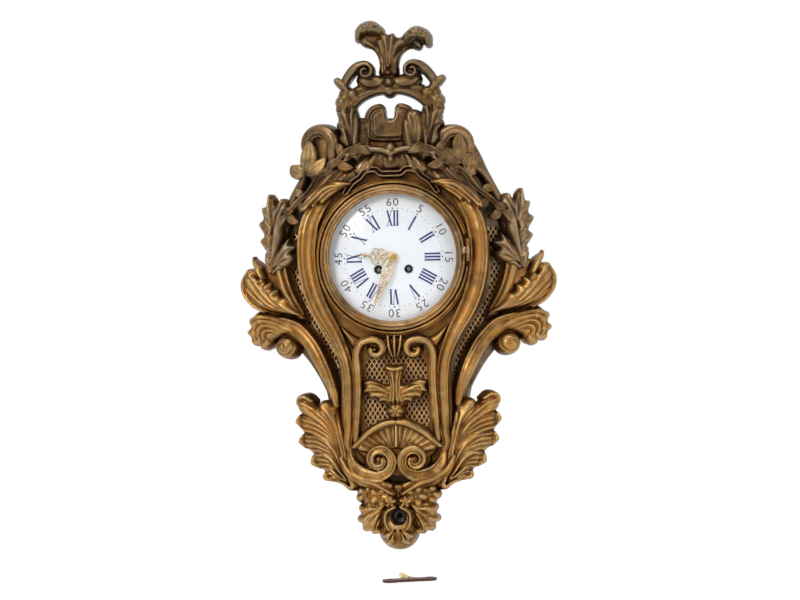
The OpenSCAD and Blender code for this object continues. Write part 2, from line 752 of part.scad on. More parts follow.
// Hands point where the photograph has them, turned clockwise from twelve
minute_angle = 202;
hour_angle = 275;
module petals(loop_y, loop_r, share) {
    for (k = [0:5]) translate(spin([0, loop_y], loop_r * 0.6, k * 60 + 30)) circle(loop_r * share, $fn = 16);
}
module hand_blank(reach, loop_y, loop_r, w) {
    half = [[0, reach], [2.4, reach - 7], [w * 0.28, reach - 8], [w * 0.4, loop_y + loop_r],
        [w, loop_y - loop_r], [w * 0.5, 0]];
    difference() {
        union() {
            polygon(concat(half, turned([for (i = [1:len(half) - 1]) [-half[i][0], half[i][1]]])));
            petals(loop_y, loop_r, 0.42);
            circle(5);
        }
        petals(loop_y, loop_r, 0.2);
    }
}
module hour_hand() {
    color("gold")
        rotate(-hour_angle)
            slab(hour_d, hour_d + hand_t)
                difference() {
                    hand_blank(hour_len, 17, 9, 4);
                    circle(pipe_r);
                }
}
cannon_r = 2.1;
module minute_hand() {
    color("gold")
        rotate(-minute_angle)
            slab(minute_d, minute_d + hand_t)
                difference() {
                    hand_blank(minute_len, 20, 7, 3.4);
                    circle(cannon_r);
                }
}
centre_r = 1.1;
module hand_nut() {
    color("gold") bored(hub, 3.4, centre_r + run, minute_d + hand_t, minute_d + hand_t + 1.8);
}
motion_d = move_front + 0.5;
module cannon_pinion() {
    color("gold")
        difference() {
            union() {
                pinion(hub, tooth_m, cannon_z, 90, motion_d, motion_d + 2.4);
                post(hub, cannon_r, motion_d, minute_d + hand_t);
            }
            post(hub, centre_r + run, 0, case_d + 60);
        }
}
module minute_wheel() {
    color("gold") {
        wheel(minute_at, tooth_m, minute_z, -90, motion_d + 0.6, motion_d + 1.8);
        pinion(minute_at, hour_m, minute_pinion_z, -90, motion_d + 1.8, motion_d + 5);
        post(minute_at, pivot_r, move_front - move_t, motion_d + 2);
    }
}
module hour_wheel() {
    color("gold")
        difference() {
            union() {
                wheel(hub, hour_m, hour_z, 90, motion_d + 3.2, motion_d + 4.4, 4, pipe_r);
                post(hub, pipe_r, motion_d + 3.2, hour_d + hand_t);
            }
            post(hub, cannon_r + run, case_d - 10, case_d + 60);
        }
}

// Movement

pillar_at = [for (a = [35, 118, 235, 305]) spin(hub, plate_r - 6, a)];
dial_pillar_at = [for (a = [20, 160, 215, 325]) spin(hub, plate_r - 1.8, a)];
wind_r = 2.2;
module plate_holes(list, r) for (q = list) translate(q) circle(r);
train_at = [second_at, third_at, escape_at, strike_two_at, pin_at, fly_at];
module front_movement_plate() {
    color("gold")
        slab(inner_front, move_front)
            difference() {
                circle(plate_r);
                plate_holes(concat(train_at, [pallet_at, minute_at]), pivot_r + run);
                plate_holes([going_at, strike_at], wind_r + run);
                circle(centre_r + run);
                plate_holes([hammer_at], pivot_r + run);
            }
}
hammer_r = 1.2;
module back_movement_plate() {
    color("gold")
        slab(move_back, inner_back)
            difference() {
                circle(plate_r);
                plate_holes([second_at, third_at, escape_at, pin_at, fly_at], pivot_r + run);
                plate_holes([strike_two_at, pallet_at, hammer_at], hammer_r + run);
                plate_holes([going_at, strike_at], wind_r + run);
                circle(centre_r + run);
            }
}
module movement_pillars() {
    color("gold") {
        for (q = pillar_at) {
            post(q, 2, inner_back, inner_front);
            translate([q[0], q[1], move_back - 2.2]) cylinder(h = 2.2, r = 2.6, $fn = 6);
        }
        for (q = dial_pillar_at) post(q, 1.5, move_front, case_d - ring_t);
    }
}

great_t = 2;
drum_r = 14.3;
drum_front = inner_front - 4.3;
drum_back = inner_front - 22;
drum_wall = 1.2;
module barrel(p, phase) {
    color("gold") {
        difference() {
            union() {
                translate([p[0], p[1], drum_front])
                    linear_extrude(great_t) teeth(tooth_m, barrel_z, wheel_form, phase);
                post(p, drum_r, drum_back, drum_front);
            }
            post(p, drum_r - drum_wall, drum_back + drum_wall, drum_front - drum_wall);
            post(p, wind_r + run, 0, case_d);
        }
    }
}
module going_barrel() barrel(going_at, angle_to(going_at, second_at));
module strike_barrel() barrel(strike_at, angle_to(strike_at, strike_two_at));

// Winding arbor with its ratchet wheel and square
ratchet_r = 6.2;
ratchet_n = 20;
ratchet_d = move_front + 0.5;
ratchet_t = 1.6;
square_w = 3;
module winding(p, hand) {
    color("silver") {
        post(p, wind_r, move_back, ratchet_d);
        translate([p[0], p[1], ratchet_d])
            linear_extrude(ratchet_t)
                polygon([for (k = [0:ratchet_n - 1]) for (s = [[0, 1], [0.75, 0.84]])
                    spin([0, 0], ratchet_r * s[1], hand * (k + s[0]) * 360 / ratchet_n)]);
        post(p, wind_r, ratchet_d, ratchet_d + 4);
        translate([p[0] - square_w / 2, p[1] - square_w / 2, ratchet_d + 4])
            cube([square_w, square_w, dial_front - 1.6 - ratchet_d - 4]);
    }
}
module going_arbor() winding(going_at, 1);
module strike_arbor() winding(strike_at, -1);

// Clicks and their springs on the front plate, tips just clear of the ratchets
module clicks() {
    color("silver")
        for (s = [-1, 1]) {
            c = [s * (wind_x + ratchet_r + 6.5), -wind_y - 5];
            tip = [s * (wind_x + ratchet_r + 0.4), -wind_y - 0.6];
            slab(move_front, ratchet_d + ratchet_t)
                polygon([c + [s * 2, -2], c + [s * 2, 2], tip + [s * 0.6, 1], tip, c + [-s * 2, -2]]);
            post(c, 1.4, ratchet_d + ratchet_t, ratchet_d + ratchet_t + 0.8);
        }
}

second_d = inner_front - 26.2;
wheel_t = 1.2;
centre_d = inner_front - 23.8;
third_d = inner_front - 17.2;
escape_d = inner_front - 10.2;
strike_d = inner_front - 29.2;
pin_d = inner_front - 13.2;
module intermediate_wheel() {
    color("gold") {
        arbor(second_at, 1.2);
        pinion(second_at, tooth_m, pinion_z, angle_to(second_at, going_at), inner_front - 6, inner_front - 1);
        wheel(second_at, tooth_m, second_z, angle_to(second_at, hub), second_d, second_d + wheel_t);
    }
}
module centre_wheel() {
    color("gold") {
        post(hub, centre_r, move_back, minute_d + hand_t + 1.8);
        post(hub, 1.6, inner_back + gap, inner_front - gap);
        pinion(hub, tooth_m, pinion_z, angle_to(hub, second_at), second_d - 0.8, second_d + 1.8);
        wheel(hub, fine_m, centre_z, angle_to(hub, third_at), centre_d, centre_d + 1);
    }
}
module third_wheel() {
    color("gold") {
        arbor(third_at, 0.9);
        pinion(third_at, fine_m, pinion_z, angle_to(third_at, hub), centre_d - 0.6, centre_d + 1.6);
        wheel(third_at, fine_m, third_z, angle_to(third_at, escape_at), third_d, third_d + 1);
    }
}
escape_r = 7.5;
module escape_wheel() {
    color("gold") {
        arbor(escape_at, 0.9);
        pinion(escape_at, fine_m, escape_z, angle_to(escape_at, third_at), third_d - 0.8, third_d + 1.8);
        translate([escape_at[0], escape_at[1], escape_d])
            linear_extrude(1)
                polygon([for (k = [0:escape_teeth - 1])
                    for (s = [[0, 0.84], [0.3, 0.84], [0.62, 1], [0.72, 1]])
                    spin([0, 0], escape_r * s[1], (k + s[0]) * 360 / escape_teeth)]);
    }
}
crutch_d = rod_d + 2.6;
crutch_low = 8;
rod_r = 1.2;
fork_w = rod_r + gap + 1;
fork_h = 3;
module pallets_and_crutch() {
    color("silver") {
        post(pallet_at, 0.9, crutch_d, inner_front - gap);
        post(pallet_at, pivot_r, inner_front - 1, move_front);
        // Anchor with its two nibs, clear of the tooth tips
        slab(escape_d, escape_d + 1)
            difference() {
                translate(pallet_at)
                    polygon([[0, 2.4], [-7.4, -3], [-7.6, -6.4], [-6.2, -5.6], [-5.6, -3], [0, -1.6],
                        [5.6, -3], [6.2, -5.6], [7.6, -6.4], [7.4, -3]]);
                translate(escape_at) circle(escape_r + gap);
            }
        // Crutch and its fork round the rod
        slab(crutch_d, crutch_d + 1) translate([-1, crutch_low]) square([2, pallet_at[1] - crutch_low + 1.6]);
        for (s = [-1, 1])
            translate([s * (fork_w - 0.5) - 0.5, crutch_low, rod_d - 1.5])
                cube([1, fork_h, crutch_d - rod_d + 2.5]);
        slab(crutch_d, crutch_d + 1) translate([-fork_w, crutch_low]) square([2 * fork_w, fork_h]);
    }
}
cock_y = pallet_at[1] + 3;
module suspension_cock() {
    color("gold") {
        translate([-5, cock_y, rod_d - 2.5]) cube([10, 4.5, move_back - rod_d + 2.5]);
    }
}
block_y = pallet_at[1] - 6;
bob_y = pallet_at[1] - pendulum_l;
rod_low = bob_y - bob_r - 9;
module pendulum_rod() {
    color("silver") {
        translate([0, rod_low, rod_d]) rotate([-90, 0, 0]) cylinder(h = block_y - rod_low, r = rod_r);
        translate([-3, block_y, rod_d - 1.4]) cube([6, 4, 2.8]);
        translate([-2, block_y + 4, rod_d - 0.2]) cube([4, cock_y - gap - block_y - 4, 0.4]);
    }
}
bob_t = 8;
module pendulum_bob() {
    color("gold") {
        difference() {
            translate([0, bob_y, rod_d])
                rotate_extrude($fn = 64)
                    polygon([[0, -bob_t / 2], [bob_r * 0.6, -bob_t * 0.34], [bob_r, -0.6], [bob_r, 0.6],
                        [bob_r * 0.6, bob_t * 0.34], [0, bob_t / 2]]);
            translate([0, bob_y - 2 * bob_r, rod_d]) rotate([-90, 0, 0]) cylinder(h = 4 * bob_r, r = rod_r);
        }
        translate([0, bob_y - bob_r - 4, rod_d])
            rotate([-90, 0, 0])
                difference() {
                    cylinder(h = 3.7, r = 4);
                    translate([0, 0, -cut]) cylinder(h = 8, r = rod_r);
                }
    }
}

count_d = move_back - 2;
module strike_wheel() {
    color("gold") {
        post(strike_two_at, 1.2, count_d - 0.6, inner_front - gap);
        post(strike_two_at, pivot_r, inner_front - 1, move_front);
        pinion(strike_two_at, tooth_m, pinion_z, angle_to(strike_two_at, strike_at),
            inner_front - 6, inner_front - 1);
        wheel(strike_two_at, tooth_m, strike_z, angle_to(strike_two_at, pin_at),
            strike_d, strike_d + wheel_t);
    }
}
count_r = 15;
day_strokes = 78;
module count_wheel() {
    color("gold")
        slab(count_d, count_d + 1.2)
            translate(strike_two_at)
                difference() {
                    circle(count_r);
                    circle(1.2);
                    // Notches spaced by the count of one to twelve strokes
                    for (h = [1:12])
                        rotate(-h * (h + 1) / 2 * 360 / day_strokes)
                            translate([count_r - 2, -0.6]) square([4, 1.2]);
                    for (k = [0:3]) rotate(k * 90) translate([8, 0]) circle(4);
                }
}
pin_n = 8;
module pin_wheel() {
    color("gold") {
        arbor(pin_at, 0.9);
        pinion(pin_at, tooth_m, pin_z, angle_to(pin_at, strike_two_at), strike_d - 0.6, strike_d + 1.8);
        wheel(pin_at, fly_m, fly_wheel_z, angle_to(pin_at, fly_at), pin_d, pin_d + wheel_t);
        for (k = [0:pin_n - 1]) post(spin(pin_at, 6.4, k * 360 / pin_n), 0.4, pin_d - 2, pin_d);
    }
}
module fly() {
    color("gold") {
        arbor(fly_at, 0.8);
        pinion(fly_at, fly_m, pin_z, angle_to(fly_at, pin_at), pin_d - 0.6, pin_d + 1.8);
        translate([fly_at[0] - 5.5, fly_at[1] - 0.3, inner_front - 9]) cube([11, 0.6, 7]);
    }
}
hammer_d = rod_d + 1.4;
head_r = 3;
head_at = spin(bell_at, bell_r + head_r + 0.7, 215);
module hammer() {
    color("silver") {
        post(hammer_at, hammer_r, hammer_d, inner_front - gap);
        post(hammer_at, pivot_r, inner_front - 1, move_front);
        tail = hammer_at + 14.6 * unit(pin_at - hammer_at);
        side_step = 0.7 * left_of(unit(pin_at - hammer_at));
        slab(pin_d - 2, pin_d - 1)
            polygon([hammer_at - 1.4 * side_step, hammer_at + 1.4 * side_step, tail + side_step,
                tail - side_step]);
        slab(hammer_d, hammer_d + 1.4)
            polygon([hammer_at + [-1.8, 1.8], hammer_at + [1.8, 1.8], head_at + [1.2, 0],
                head_at + [-1.2, 0]]);
        post(head_at, head_r, bell_d - 6, hammer_d + 1.4);
    }
}
// Bell, no deeper than leaves room for its nut in front of the wall
bell_room = 5;
bell_h = min(15, bell_d - bell_room);
bell_t = 1.6;
bell_top = bell_d - bell_h * sin(84);
function bowl(r, h, d) = [for (k = [0:7]) let (a = 12 * k) [r * cos(a), d - h * sin(a)]];
module bell() {
    color("silver")
        translate([bell_at[0], bell_at[1], 0])
            difference() {
                rotate_extrude($fn = 96)
                    polygon(concat(bowl(bell_r, bell_h, bell_d), [[0, bell_top], [0, bell_top + bell_t]],
                        turned(bowl(bell_r - bell_t, bell_h - bell_t, bell_d))));
                translate([0, 0, -cut]) cylinder(h = bell_d, r = stud_r);
            }
}
stud_r = 1.5;
stand_at = [18, -20];
bell_in = bell_top + bell_t;
stand_t = 2.4;
stand_d = bell_in + 6.6;
stud_end = 1.2;
module bell_stand() {
    color("silver") {
        post(stand_at, 2.2, stand_d, move_back);
        slab(stand_d, stand_d + stand_t)
            polygon([bell_at + [-2.6, -2.2], bell_at + [2.6, 2.6], stand_at + [2.2, 1],
                stand_at + [-1, -2.2]]);
        post(bell_at, 2.8, bell_in, stand_d + stand_t);
        post(bell_at, stud_r, stud_end, bell_in + 2);
    }
}
module bell_nut() {
    color("gray")
        difference() {
            translate([bell_at[0], bell_at[1], stud_end]) cylinder(h = bell_top - stud_end, r = 3.4, $fn = 6);
            post(bell_at, stud_r, 0, bell_in);
        }
}

// Winding key lying on the surface below the clock

key_t = 2.6;
key_x = 9;
key_d = 64;
key_turn = 197.5;
module key_place() {
    translate([key_x, -key_floor, key_d]) rotate([0, key_turn, 0]) rotate([-90, 0, 0]) children();
}
key_pipe_r = 3.3;
key_neck = 7;
key_loop_r = 7.5;
key_loop_x = key_w / 2 - key_loop_r;
socket_w = square_w + 0.2;
module key_wings() {
    color("saddlebrown")
        key_place()
            slab(key_pipe_r - key_t / 2, key_pipe_r + key_t / 2)
                difference() {
                    union() {
                        for (s = [-1, 1]) {
                            translate([s * key_loop_x, 0]) circle(key_loop_r);
                            polygon([[0, 5], [s * (key_w / 2 - 9), 7], [s * (key_w / 2 - 9), -7], [0, -7]]);
                        }
                        polygon([[-12, -5], [12, -5], [5, -14], [-5, -14]]);
                    }
                    for (s = [-1, 1]) translate([s * key_loop_x, 0]) circle(4);
                    translate([-key_pipe_r, -15]) square([2 * key_pipe_r, key_neck + 1]);
                }
}
module key_shaft() {
    color("goldenrod")
        key_place()
            translate([0, -8, key_pipe_r])
                rotate([90, 0, 0])
                    difference() {
                        cylinder(h = key_l, r = key_pipe_r);
                        translate([-socket_w / 2, -socket_w / 2, key_l - 14]) cube([socket_w, socket_w, 15]);
                    }
}

hung() case_shell();
hung() front_plate();
hung() left_frame_band();
hung() right_frame_band();
hung() top_collar();
hung() crest();
hung() left_wing();
hung() right_wing();
hung() left_sprig();
hung() right_sprig();
hung() left_flank_leaf();
hung() right_flank_leaf();
hung() panel_scrolls();
hung() base_scrolls();
hung() grille_spray();
hung() pendant();
hung() lower_grille();
hung() left_grille();
hung() right_grille();
hung() grille_backings();
hung() case_nuts();
hung() hanger_plate();
hung() dial_surround();
hung() hinge_pin();
hung() bezel();
hung() bezel_glass();
hung() dial_ring();
hung() dial();
hung() hour_hand();
hung() minute_hand();
hung() hand_nut();
hung() cannon_pinion();
hung() minute_wheel();
hung() hour_wheel();
hung() front_movement_plate();
hung() back_movement_plate();
hung() movement_pillars();
hung() going_barrel();
hung() strike_barrel();
hung() going_arbor();
hung() strike_arbor();
hung() clicks();
hung() intermediate_wheel();
hung() centre_wheel();
hung() third_wheel();
hung() escape_wheel();
hung() pallets_and_crutch();
hung() suspension_cock();
hung() pendulum_rod();
hung() pendulum_bob();
hung() strike_wheel();
hung() count_wheel();
hung() pin_wheel();
hung() fly();
hung() hammer();
hung() bell();
hung() bell_stand();
hung() bell_nut();
hung() key_wings();
hung() key_shaft();
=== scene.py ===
"""Looks of a gilt-bronze cartel clock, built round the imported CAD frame.

Sizes are in millimetres on the drawing bench: x to the right, y up, z as depth from the wall towards
the viewer, with the dial's centre at x = y = 0. Seats turn those into the frame's metres. Lines and
outlines are written as text with one "x,y" for each point, and widths or heights along a line as text
with spaces between the numbers.
"""
import math

import bpy
import bmesh
import numpy as np
from mathutils import Matrix, Vector


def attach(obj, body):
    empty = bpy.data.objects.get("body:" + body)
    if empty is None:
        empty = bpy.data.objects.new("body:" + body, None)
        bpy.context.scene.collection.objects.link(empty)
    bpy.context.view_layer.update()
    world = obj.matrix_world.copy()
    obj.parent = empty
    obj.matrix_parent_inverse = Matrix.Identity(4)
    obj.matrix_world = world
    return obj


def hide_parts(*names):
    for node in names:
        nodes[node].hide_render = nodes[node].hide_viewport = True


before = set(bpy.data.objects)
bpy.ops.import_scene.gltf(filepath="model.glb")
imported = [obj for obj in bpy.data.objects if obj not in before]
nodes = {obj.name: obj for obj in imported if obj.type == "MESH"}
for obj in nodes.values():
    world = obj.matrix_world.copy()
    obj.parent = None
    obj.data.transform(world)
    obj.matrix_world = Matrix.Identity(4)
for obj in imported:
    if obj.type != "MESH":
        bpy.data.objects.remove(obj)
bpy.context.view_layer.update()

MM = 0.001
HANG_Y = 122.0  # hanging point over the dial's centre
CASE_D = 72.0  # depth of the case's front edge
FRONT_D = 78.0  # depth of the front plate's face
FLANK_X = 52.0  # where the flanks start to turn back
TILT = math.radians(25.0)
DIAL_R, DIAL_EDGE_D, DIAL_RISE = 75.5, 74.0, 6.5
HOLE_X, HOLE_Y = 16.7, -13.0  # winding holes in the dial
KEY_FLOOR = 360.0  # surface under the key, below the dial's centre
HOUR_D, HOUR_TURN = 82.0, 275.0  # depth of the hour hand, and degrees clockwise from twelve
MINUTE_D, MINUTE_TURN = 84.6, 202.0
SIDE_NET_LIFT, LOWER_NET_LIFT = -4.6, -0.8  # nets lie behind the flanks and the case's edge
SPRIG_LIFT, SHOULDER_LIFT = 14.0, 1.5  # sprigs and shoulder leaves stand out from the flanks
SPAN_STEPS, LOOP_STEPS = 24, 20  # points of a smooth line between two given ones
EDGE_H = 0.5  # least height of a casting
RIDGE_H = 1.6  # height over its surroundings that scales how far a ridge is rubbed bright with a painted highlight, and a hollow darkened with painted shade
SIDES = ((1, "right"), (-1, "left"))


# Seats: where a relief drawn flat, with its height in z, sits on the clock

def to_row(x, y, d):
    return np.stack([x, -d, y - HANG_Y], -1) * MM


def front_seat(depth=FRONT_D, side=1):
    """Seat on the front, or on a plane parallel to it."""
    return lambda p: to_row(side * p[..., 0], p[..., 1], depth + p[..., 2])


def flank_seat(side=1, lift=0.0):
    """Seat on a turned-back flank; x is measured from the middle line as seen from the front."""
    def place(p):
        z = p[..., 2] + lift
        x = p[..., 0] + z * math.sin(TILT)
        d = CASE_D - (p[..., 0] - FLANK_X) * math.tan(TILT) + z * math.cos(TILT)
        return to_row(side * x, p[..., 1], d)
    return place


def clockwise(x, y, angle):
    c, s = math.cos(angle), math.sin(angle)
    return x * c + y * s, y * c - x * s


def hand_seat(depth, degrees):
    """Seat of a hand that is drawn with its tip up."""
    return lambda p: to_row(*clockwise(p[..., 0], p[..., 1], math.radians(degrees)), depth + p[..., 2])


# Lines

def line(points):
    """Points from text or from a list."""
    if isinstance(points, str):
        points = [p.split(",") for p in points.split()]
    return np.array(points, float)


def spread(values, t):
    """Values from text, a list or one number, spread over the shares t of a line."""
    v = np.atleast_1d(np.array(values.split() if isinstance(values, str) else values, float))
    return np.full_like(t, v[0]) if len(v) == 1 else np.interp(t, np.linspace(0, 1, len(v)), v)


def bend(a, b, c, d, t):
    """Smooth run from b to c."""
    return 0.5 * (2 * b + (c - a) * t + (2 * a - 5 * b + 4 * c - d) * t**2 + (3 * b - a - 3 * c + d) * t**3)


def curve(points, count):
    """Evenly spaced points on a smooth line through a few points."""
    p = line(points)
    ends = np.vstack([2 * p[0] - p[1], p, 2 * p[-1] - p[-2]])
    t = np.linspace(0, 1, SPAN_STEPS, endpoint=False)[:, None]
    dense = np.vstack([bend(*ends[i:i + 4], t) for i in range(len(p) - 1)] + [p[-1:]])
    length = np.r_[0, np.cumsum(np.linalg.norm(np.diff(dense, axis=0), axis=1))]
    steps = np.linspace(0, length[-1], count)
    return np.stack([np.interp(steps, length, dense[:, k]) for k in range(p.shape[1])], 1)


def loop(points):
    """Smooth closed line through a few points."""
    p = line(points)
    n = len(p)
    t = np.linspace(0, 1, LOOP_STEPS, endpoint=False)[:, None]
    return np.vstack([bend(p[i - 1], p[i], p[(i + 1) % n], p[(i + 2) % n], t) for i in range(n)])


def mirrored(half):
    """Closed outline from its right half, which starts and ends near the middle line."""
    p = line(half)
    back = p[::-1][np.abs(p[::-1, 0]) > 0.1]
    return np.vstack([p, back * [-1, 1]])


def spiral(centre, r0, r1, a0, a1, count):
    a = np.radians(np.linspace(a0, a1, count))
    r = np.linspace(r0, r1, count)
    return np.stack([centre[0] + r * np.cos(a), centre[1] + r * np.sin(a)], 1)


def circle(centre, rx, ry, count=28):
    a = np.linspace(0, 2 * math.pi, count, endpoint=False)
    return np.stack([centre[0] + rx * np.cos(a), centre[1] + ry * np.sin(a)], 1)


def ray(angle, wide=1.0, high=1.0):
    return np.array([wide * math.cos(angle), high * math.sin(angle)])


def joined(*runs, count):
    return curve(np.vstack([line(r) for r in runs]), count)


def tangents(path):
    t = np.gradient(path, axis=0)
    return t / np.maximum(np.linalg.norm(t, axis=1, keepdims=True), 1e-9)


def inside(points, polygon):
    x, y = points[:, 0], points[:, 1]
    hit = np.zeros(len(points), bool)
    for (x0, y0), (x1, y1) in zip(polygon, np.roll(polygon, -1, axis=0)):
        cross = (y0 > y) != (y1 > y)
        hit ^= cross & (x < (x1 - x0) * (y - y0) / (y1 - y0 + 1e-12) + x0)
    return hit


# Cross-sections, as (share of the width, share of the height)
ROUND = curve("-.5,0 -.46,.42 -.3,.82 0,1 .3,.82 .46,.42 .5,0", 17)
CUSHION = curve("-.5,.25 -.46,.6 -.34,.88 0,1 .34,.88 .46,.6 .5,.25", 21)
FLAT = curve("-.5,.5 -.47,.95 -.4,1 .4,1 .47,.95 .5,.5", 17)
BLADE = curve("-.5,.3 -.45,.72 -.25,.9 -.08,.78 0,1 .08,.78 .25,.9 .45,.72 .5,.3", 17)
ROLLED = curve("-.5,.1 -.48,.62 -.4,.86 -.28,.7 -.16,.66 0,.86 .18,1 .36,.92 .47,.62 .5,.1", 29)
TWIN = curve("-.5,.1 -.48,.7 -.36,.9 -.22,.84 -.1,.5 .02,.62 .2,.96 .36,.94 .47,.66 .5,.1", 29)
MOULD = curve("-.5,.2 -.48,.66 -.38,.84 -.26,.82 -.2,.74 -.12,.86 .06,1 .26,.95 .34,.86 .42,.84 .48,.64 "
              ".5,.2", 41)
BANDED = curve("-.5,.3 -.49,.6 -.45,.7 -.4,.72 -.36,.66 -.32,.68 -.2,.82 -.05,.92 .1,.97 .2,.97 .28,.92 "
               ".32,.86 .36,.9 .42,.94 .47,.8 .5,.3", 65)
RAIL = curve("-.5,.25 -.46,.62 -.36,.84 -.2,.97 0,1 .16,.97 .26,.9 .31,.82 .36,.86 "
             ".41,.82 .46,.6 .5,.25", 41)
FLATBAND = curve("-.5,.3 -.48,.84 -.4,.96 -.3,.93 -.24,.84 -.18,.9 .1,.97 .28,1 .36,.92 .42,.94 .48,.8 "
                 ".5,.3", 41)


def flutes(count, depth):
    """Cross-section of a cushion with fine flutes along it."""
    s = np.linspace(-0.5, 0.5, 65)
    cushion = np.maximum(1 - np.abs(2 * s) ** 2.2, 0) ** 0.6
    groove = depth * (0.5 - 0.5 * np.cos(2 * math.pi * count * (s + 0.5)))
    return np.stack([s, (0.2 + 0.8 * cushion) * (1 - groove)], 1)


# Castings: closed shells gathered into one mesh

class Casting:
    def __init__(self):
        self.points, self.faces, self.worn, self.size = [], [], [], 0

    def add(self, points, faces, worn=None):
        p = np.asarray(points, float).reshape(-1, 3)
        self.points.append(p)
        self.worn.append(np.zeros(len(p)) if worn is None else worn)
        self.faces += [tuple(k + self.size for k in f) for f in faces]
        self.size += len(p)

    def slab(self, top, base, faces, worn=None):
        """Closed solid between a sheet, whose faces all have as many sides, and its copy below."""
        f = np.asarray(faces)
        n, sides = len(top), f.shape[1]
        edges = np.concatenate([f[:, [k, (k + 1) % sides]] for k in range(sides)])
        _, first, count = np.unique(np.sort(edges, 1), axis=0, return_index=True, return_counts=True)
        rim = edges[first[count == 1]]
        walls = np.stack([rim[:, 1], rim[:, 0], rim[:, 0] + n, rim[:, 1] + n], 1)
        self.add(np.concatenate([top, base]), f.tolist() + (f[:, ::-1] + n).tolist() + walls.tolist(), worn)

    def shell(self, top, base):
        """Closed shell between two grids of points."""
        nu, nv = top.shape[:2]
        a = (np.arange(nu - 1)[:, None] * nv + np.arange(nv - 1)).ravel()
        self.slab(top.reshape(-1, 3), base.reshape(-1, 3), np.stack([a, a + nv, a + nv + 1, a + 1], 1))

    def skin(self, grid, closed=False):
        """Skin of a grid that wraps round its second axis; its ends are capped, or meet if closed."""
        nu, nv = grid.shape[:2]
        faces = []
        for i in range(nu if closed else nu - 1):
            a, b = i * nv, (i + 1) % nu * nv
            faces += [(a + j, b + j, b + (j + 1) % nv, a + (j + 1) % nv) for j in range(nv)]
        if not closed:
            faces += [tuple(range(nv)), tuple(range(nu * nv - 1, (nu - 1) * nv - 1, -1))]
        self.add(grid, faces)

    def turn(self, profile, centre=(0, 0), steps=192, arc=None):
        """Ring of (radius, depth) points turned about an axis that stands on the dial, or an arc of it."""
        if arc:
            a = np.radians(np.linspace(*arc, steps + 1))
        else:
            a = np.radians(np.linspace(0, 360, steps, endpoint=False))
        self.skin(np.stack([to_row(centre[0] + r * np.cos(a), centre[1] + r * np.sin(a), np.full_like(a, d))
                            for r, d in profile], 1), not arc)

    def build(self, name, material, body="case", replaces=(), slot="gilt_bronze"):
        mesh = bpy.data.meshes.new(name)
        mesh.from_pydata(np.concatenate(self.points).tolist(), [], self.faces)
        mesh.attributes.new("worn", "FLOAT", "POINT").data.foreach_set("value", np.concatenate(self.worn))
        work = bmesh.new()
        work.from_mesh(mesh)
        bmesh.ops.recalc_face_normals(work, faces=work.faces)
        work.to_mesh(mesh)
        work.free()
        mesh.shade_smooth()
        settle(mesh, material, body, replaces)


def settle(mesh, material, body, replaces):
    piece = bpy.data.objects.new(mesh.name, mesh)
    bpy.context.scene.collection.objects.link(piece)
    mesh.materials.append(material)
    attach(piece, body)
    if replaces:
        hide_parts(*replaces)


def band(casting, seat, path, width, height, profile, lift=0.0, back=0.0):
    """Moulded band along a line."""
    t = np.linspace(0, 1, len(path))
    w, h, up = spread(width, t), spread(height, t), spread(lift, t)
    ahead = tangents(path)
    across = profile[:, 0] * w[:, None]
    top = np.stack([path[:, 0, None] - ahead[:, 1, None] * across,
                    path[:, 1, None] + ahead[:, 0, None] * across,
                    up[:, None] + profile[:, 1] * h[:, None]], -1)
    base = top.copy()
    base[..., 2] = back
    casting.shell(seat(top), seat(base))


def ball(casting, seat, centre, size):
    """Ellipsoid; size is its three half axes."""
    a = np.linspace(0.02, math.pi - 0.02, 15)[:, None]
    b = np.linspace(0, 2 * math.pi, 28, endpoint=False)
    grid = np.stack([np.sin(a) * np.cos(b), np.cos(a) + 0 * b, np.sin(a) * np.sin(b)], -1)
    casting.skin(seat(np.array(centre) + grid * size))


def blurred(a, n):
    """Box blur over 2n + 1 cells, twice."""
    for axis in (0, 1, 0, 1):
        first, last = np.take(a, [0], axis), np.take(a, [-1], axis)
        wide = np.concatenate([np.repeat(first, n + 1, axis), a, np.repeat(last, n, axis)], axis)
        total, start = np.cumsum(wide, axis), np.arange(a.shape[axis])
        a = (np.take(total, start + 2 * n + 1, axis) - np.take(total, start, axis)) / (2 * n + 1)
    return a


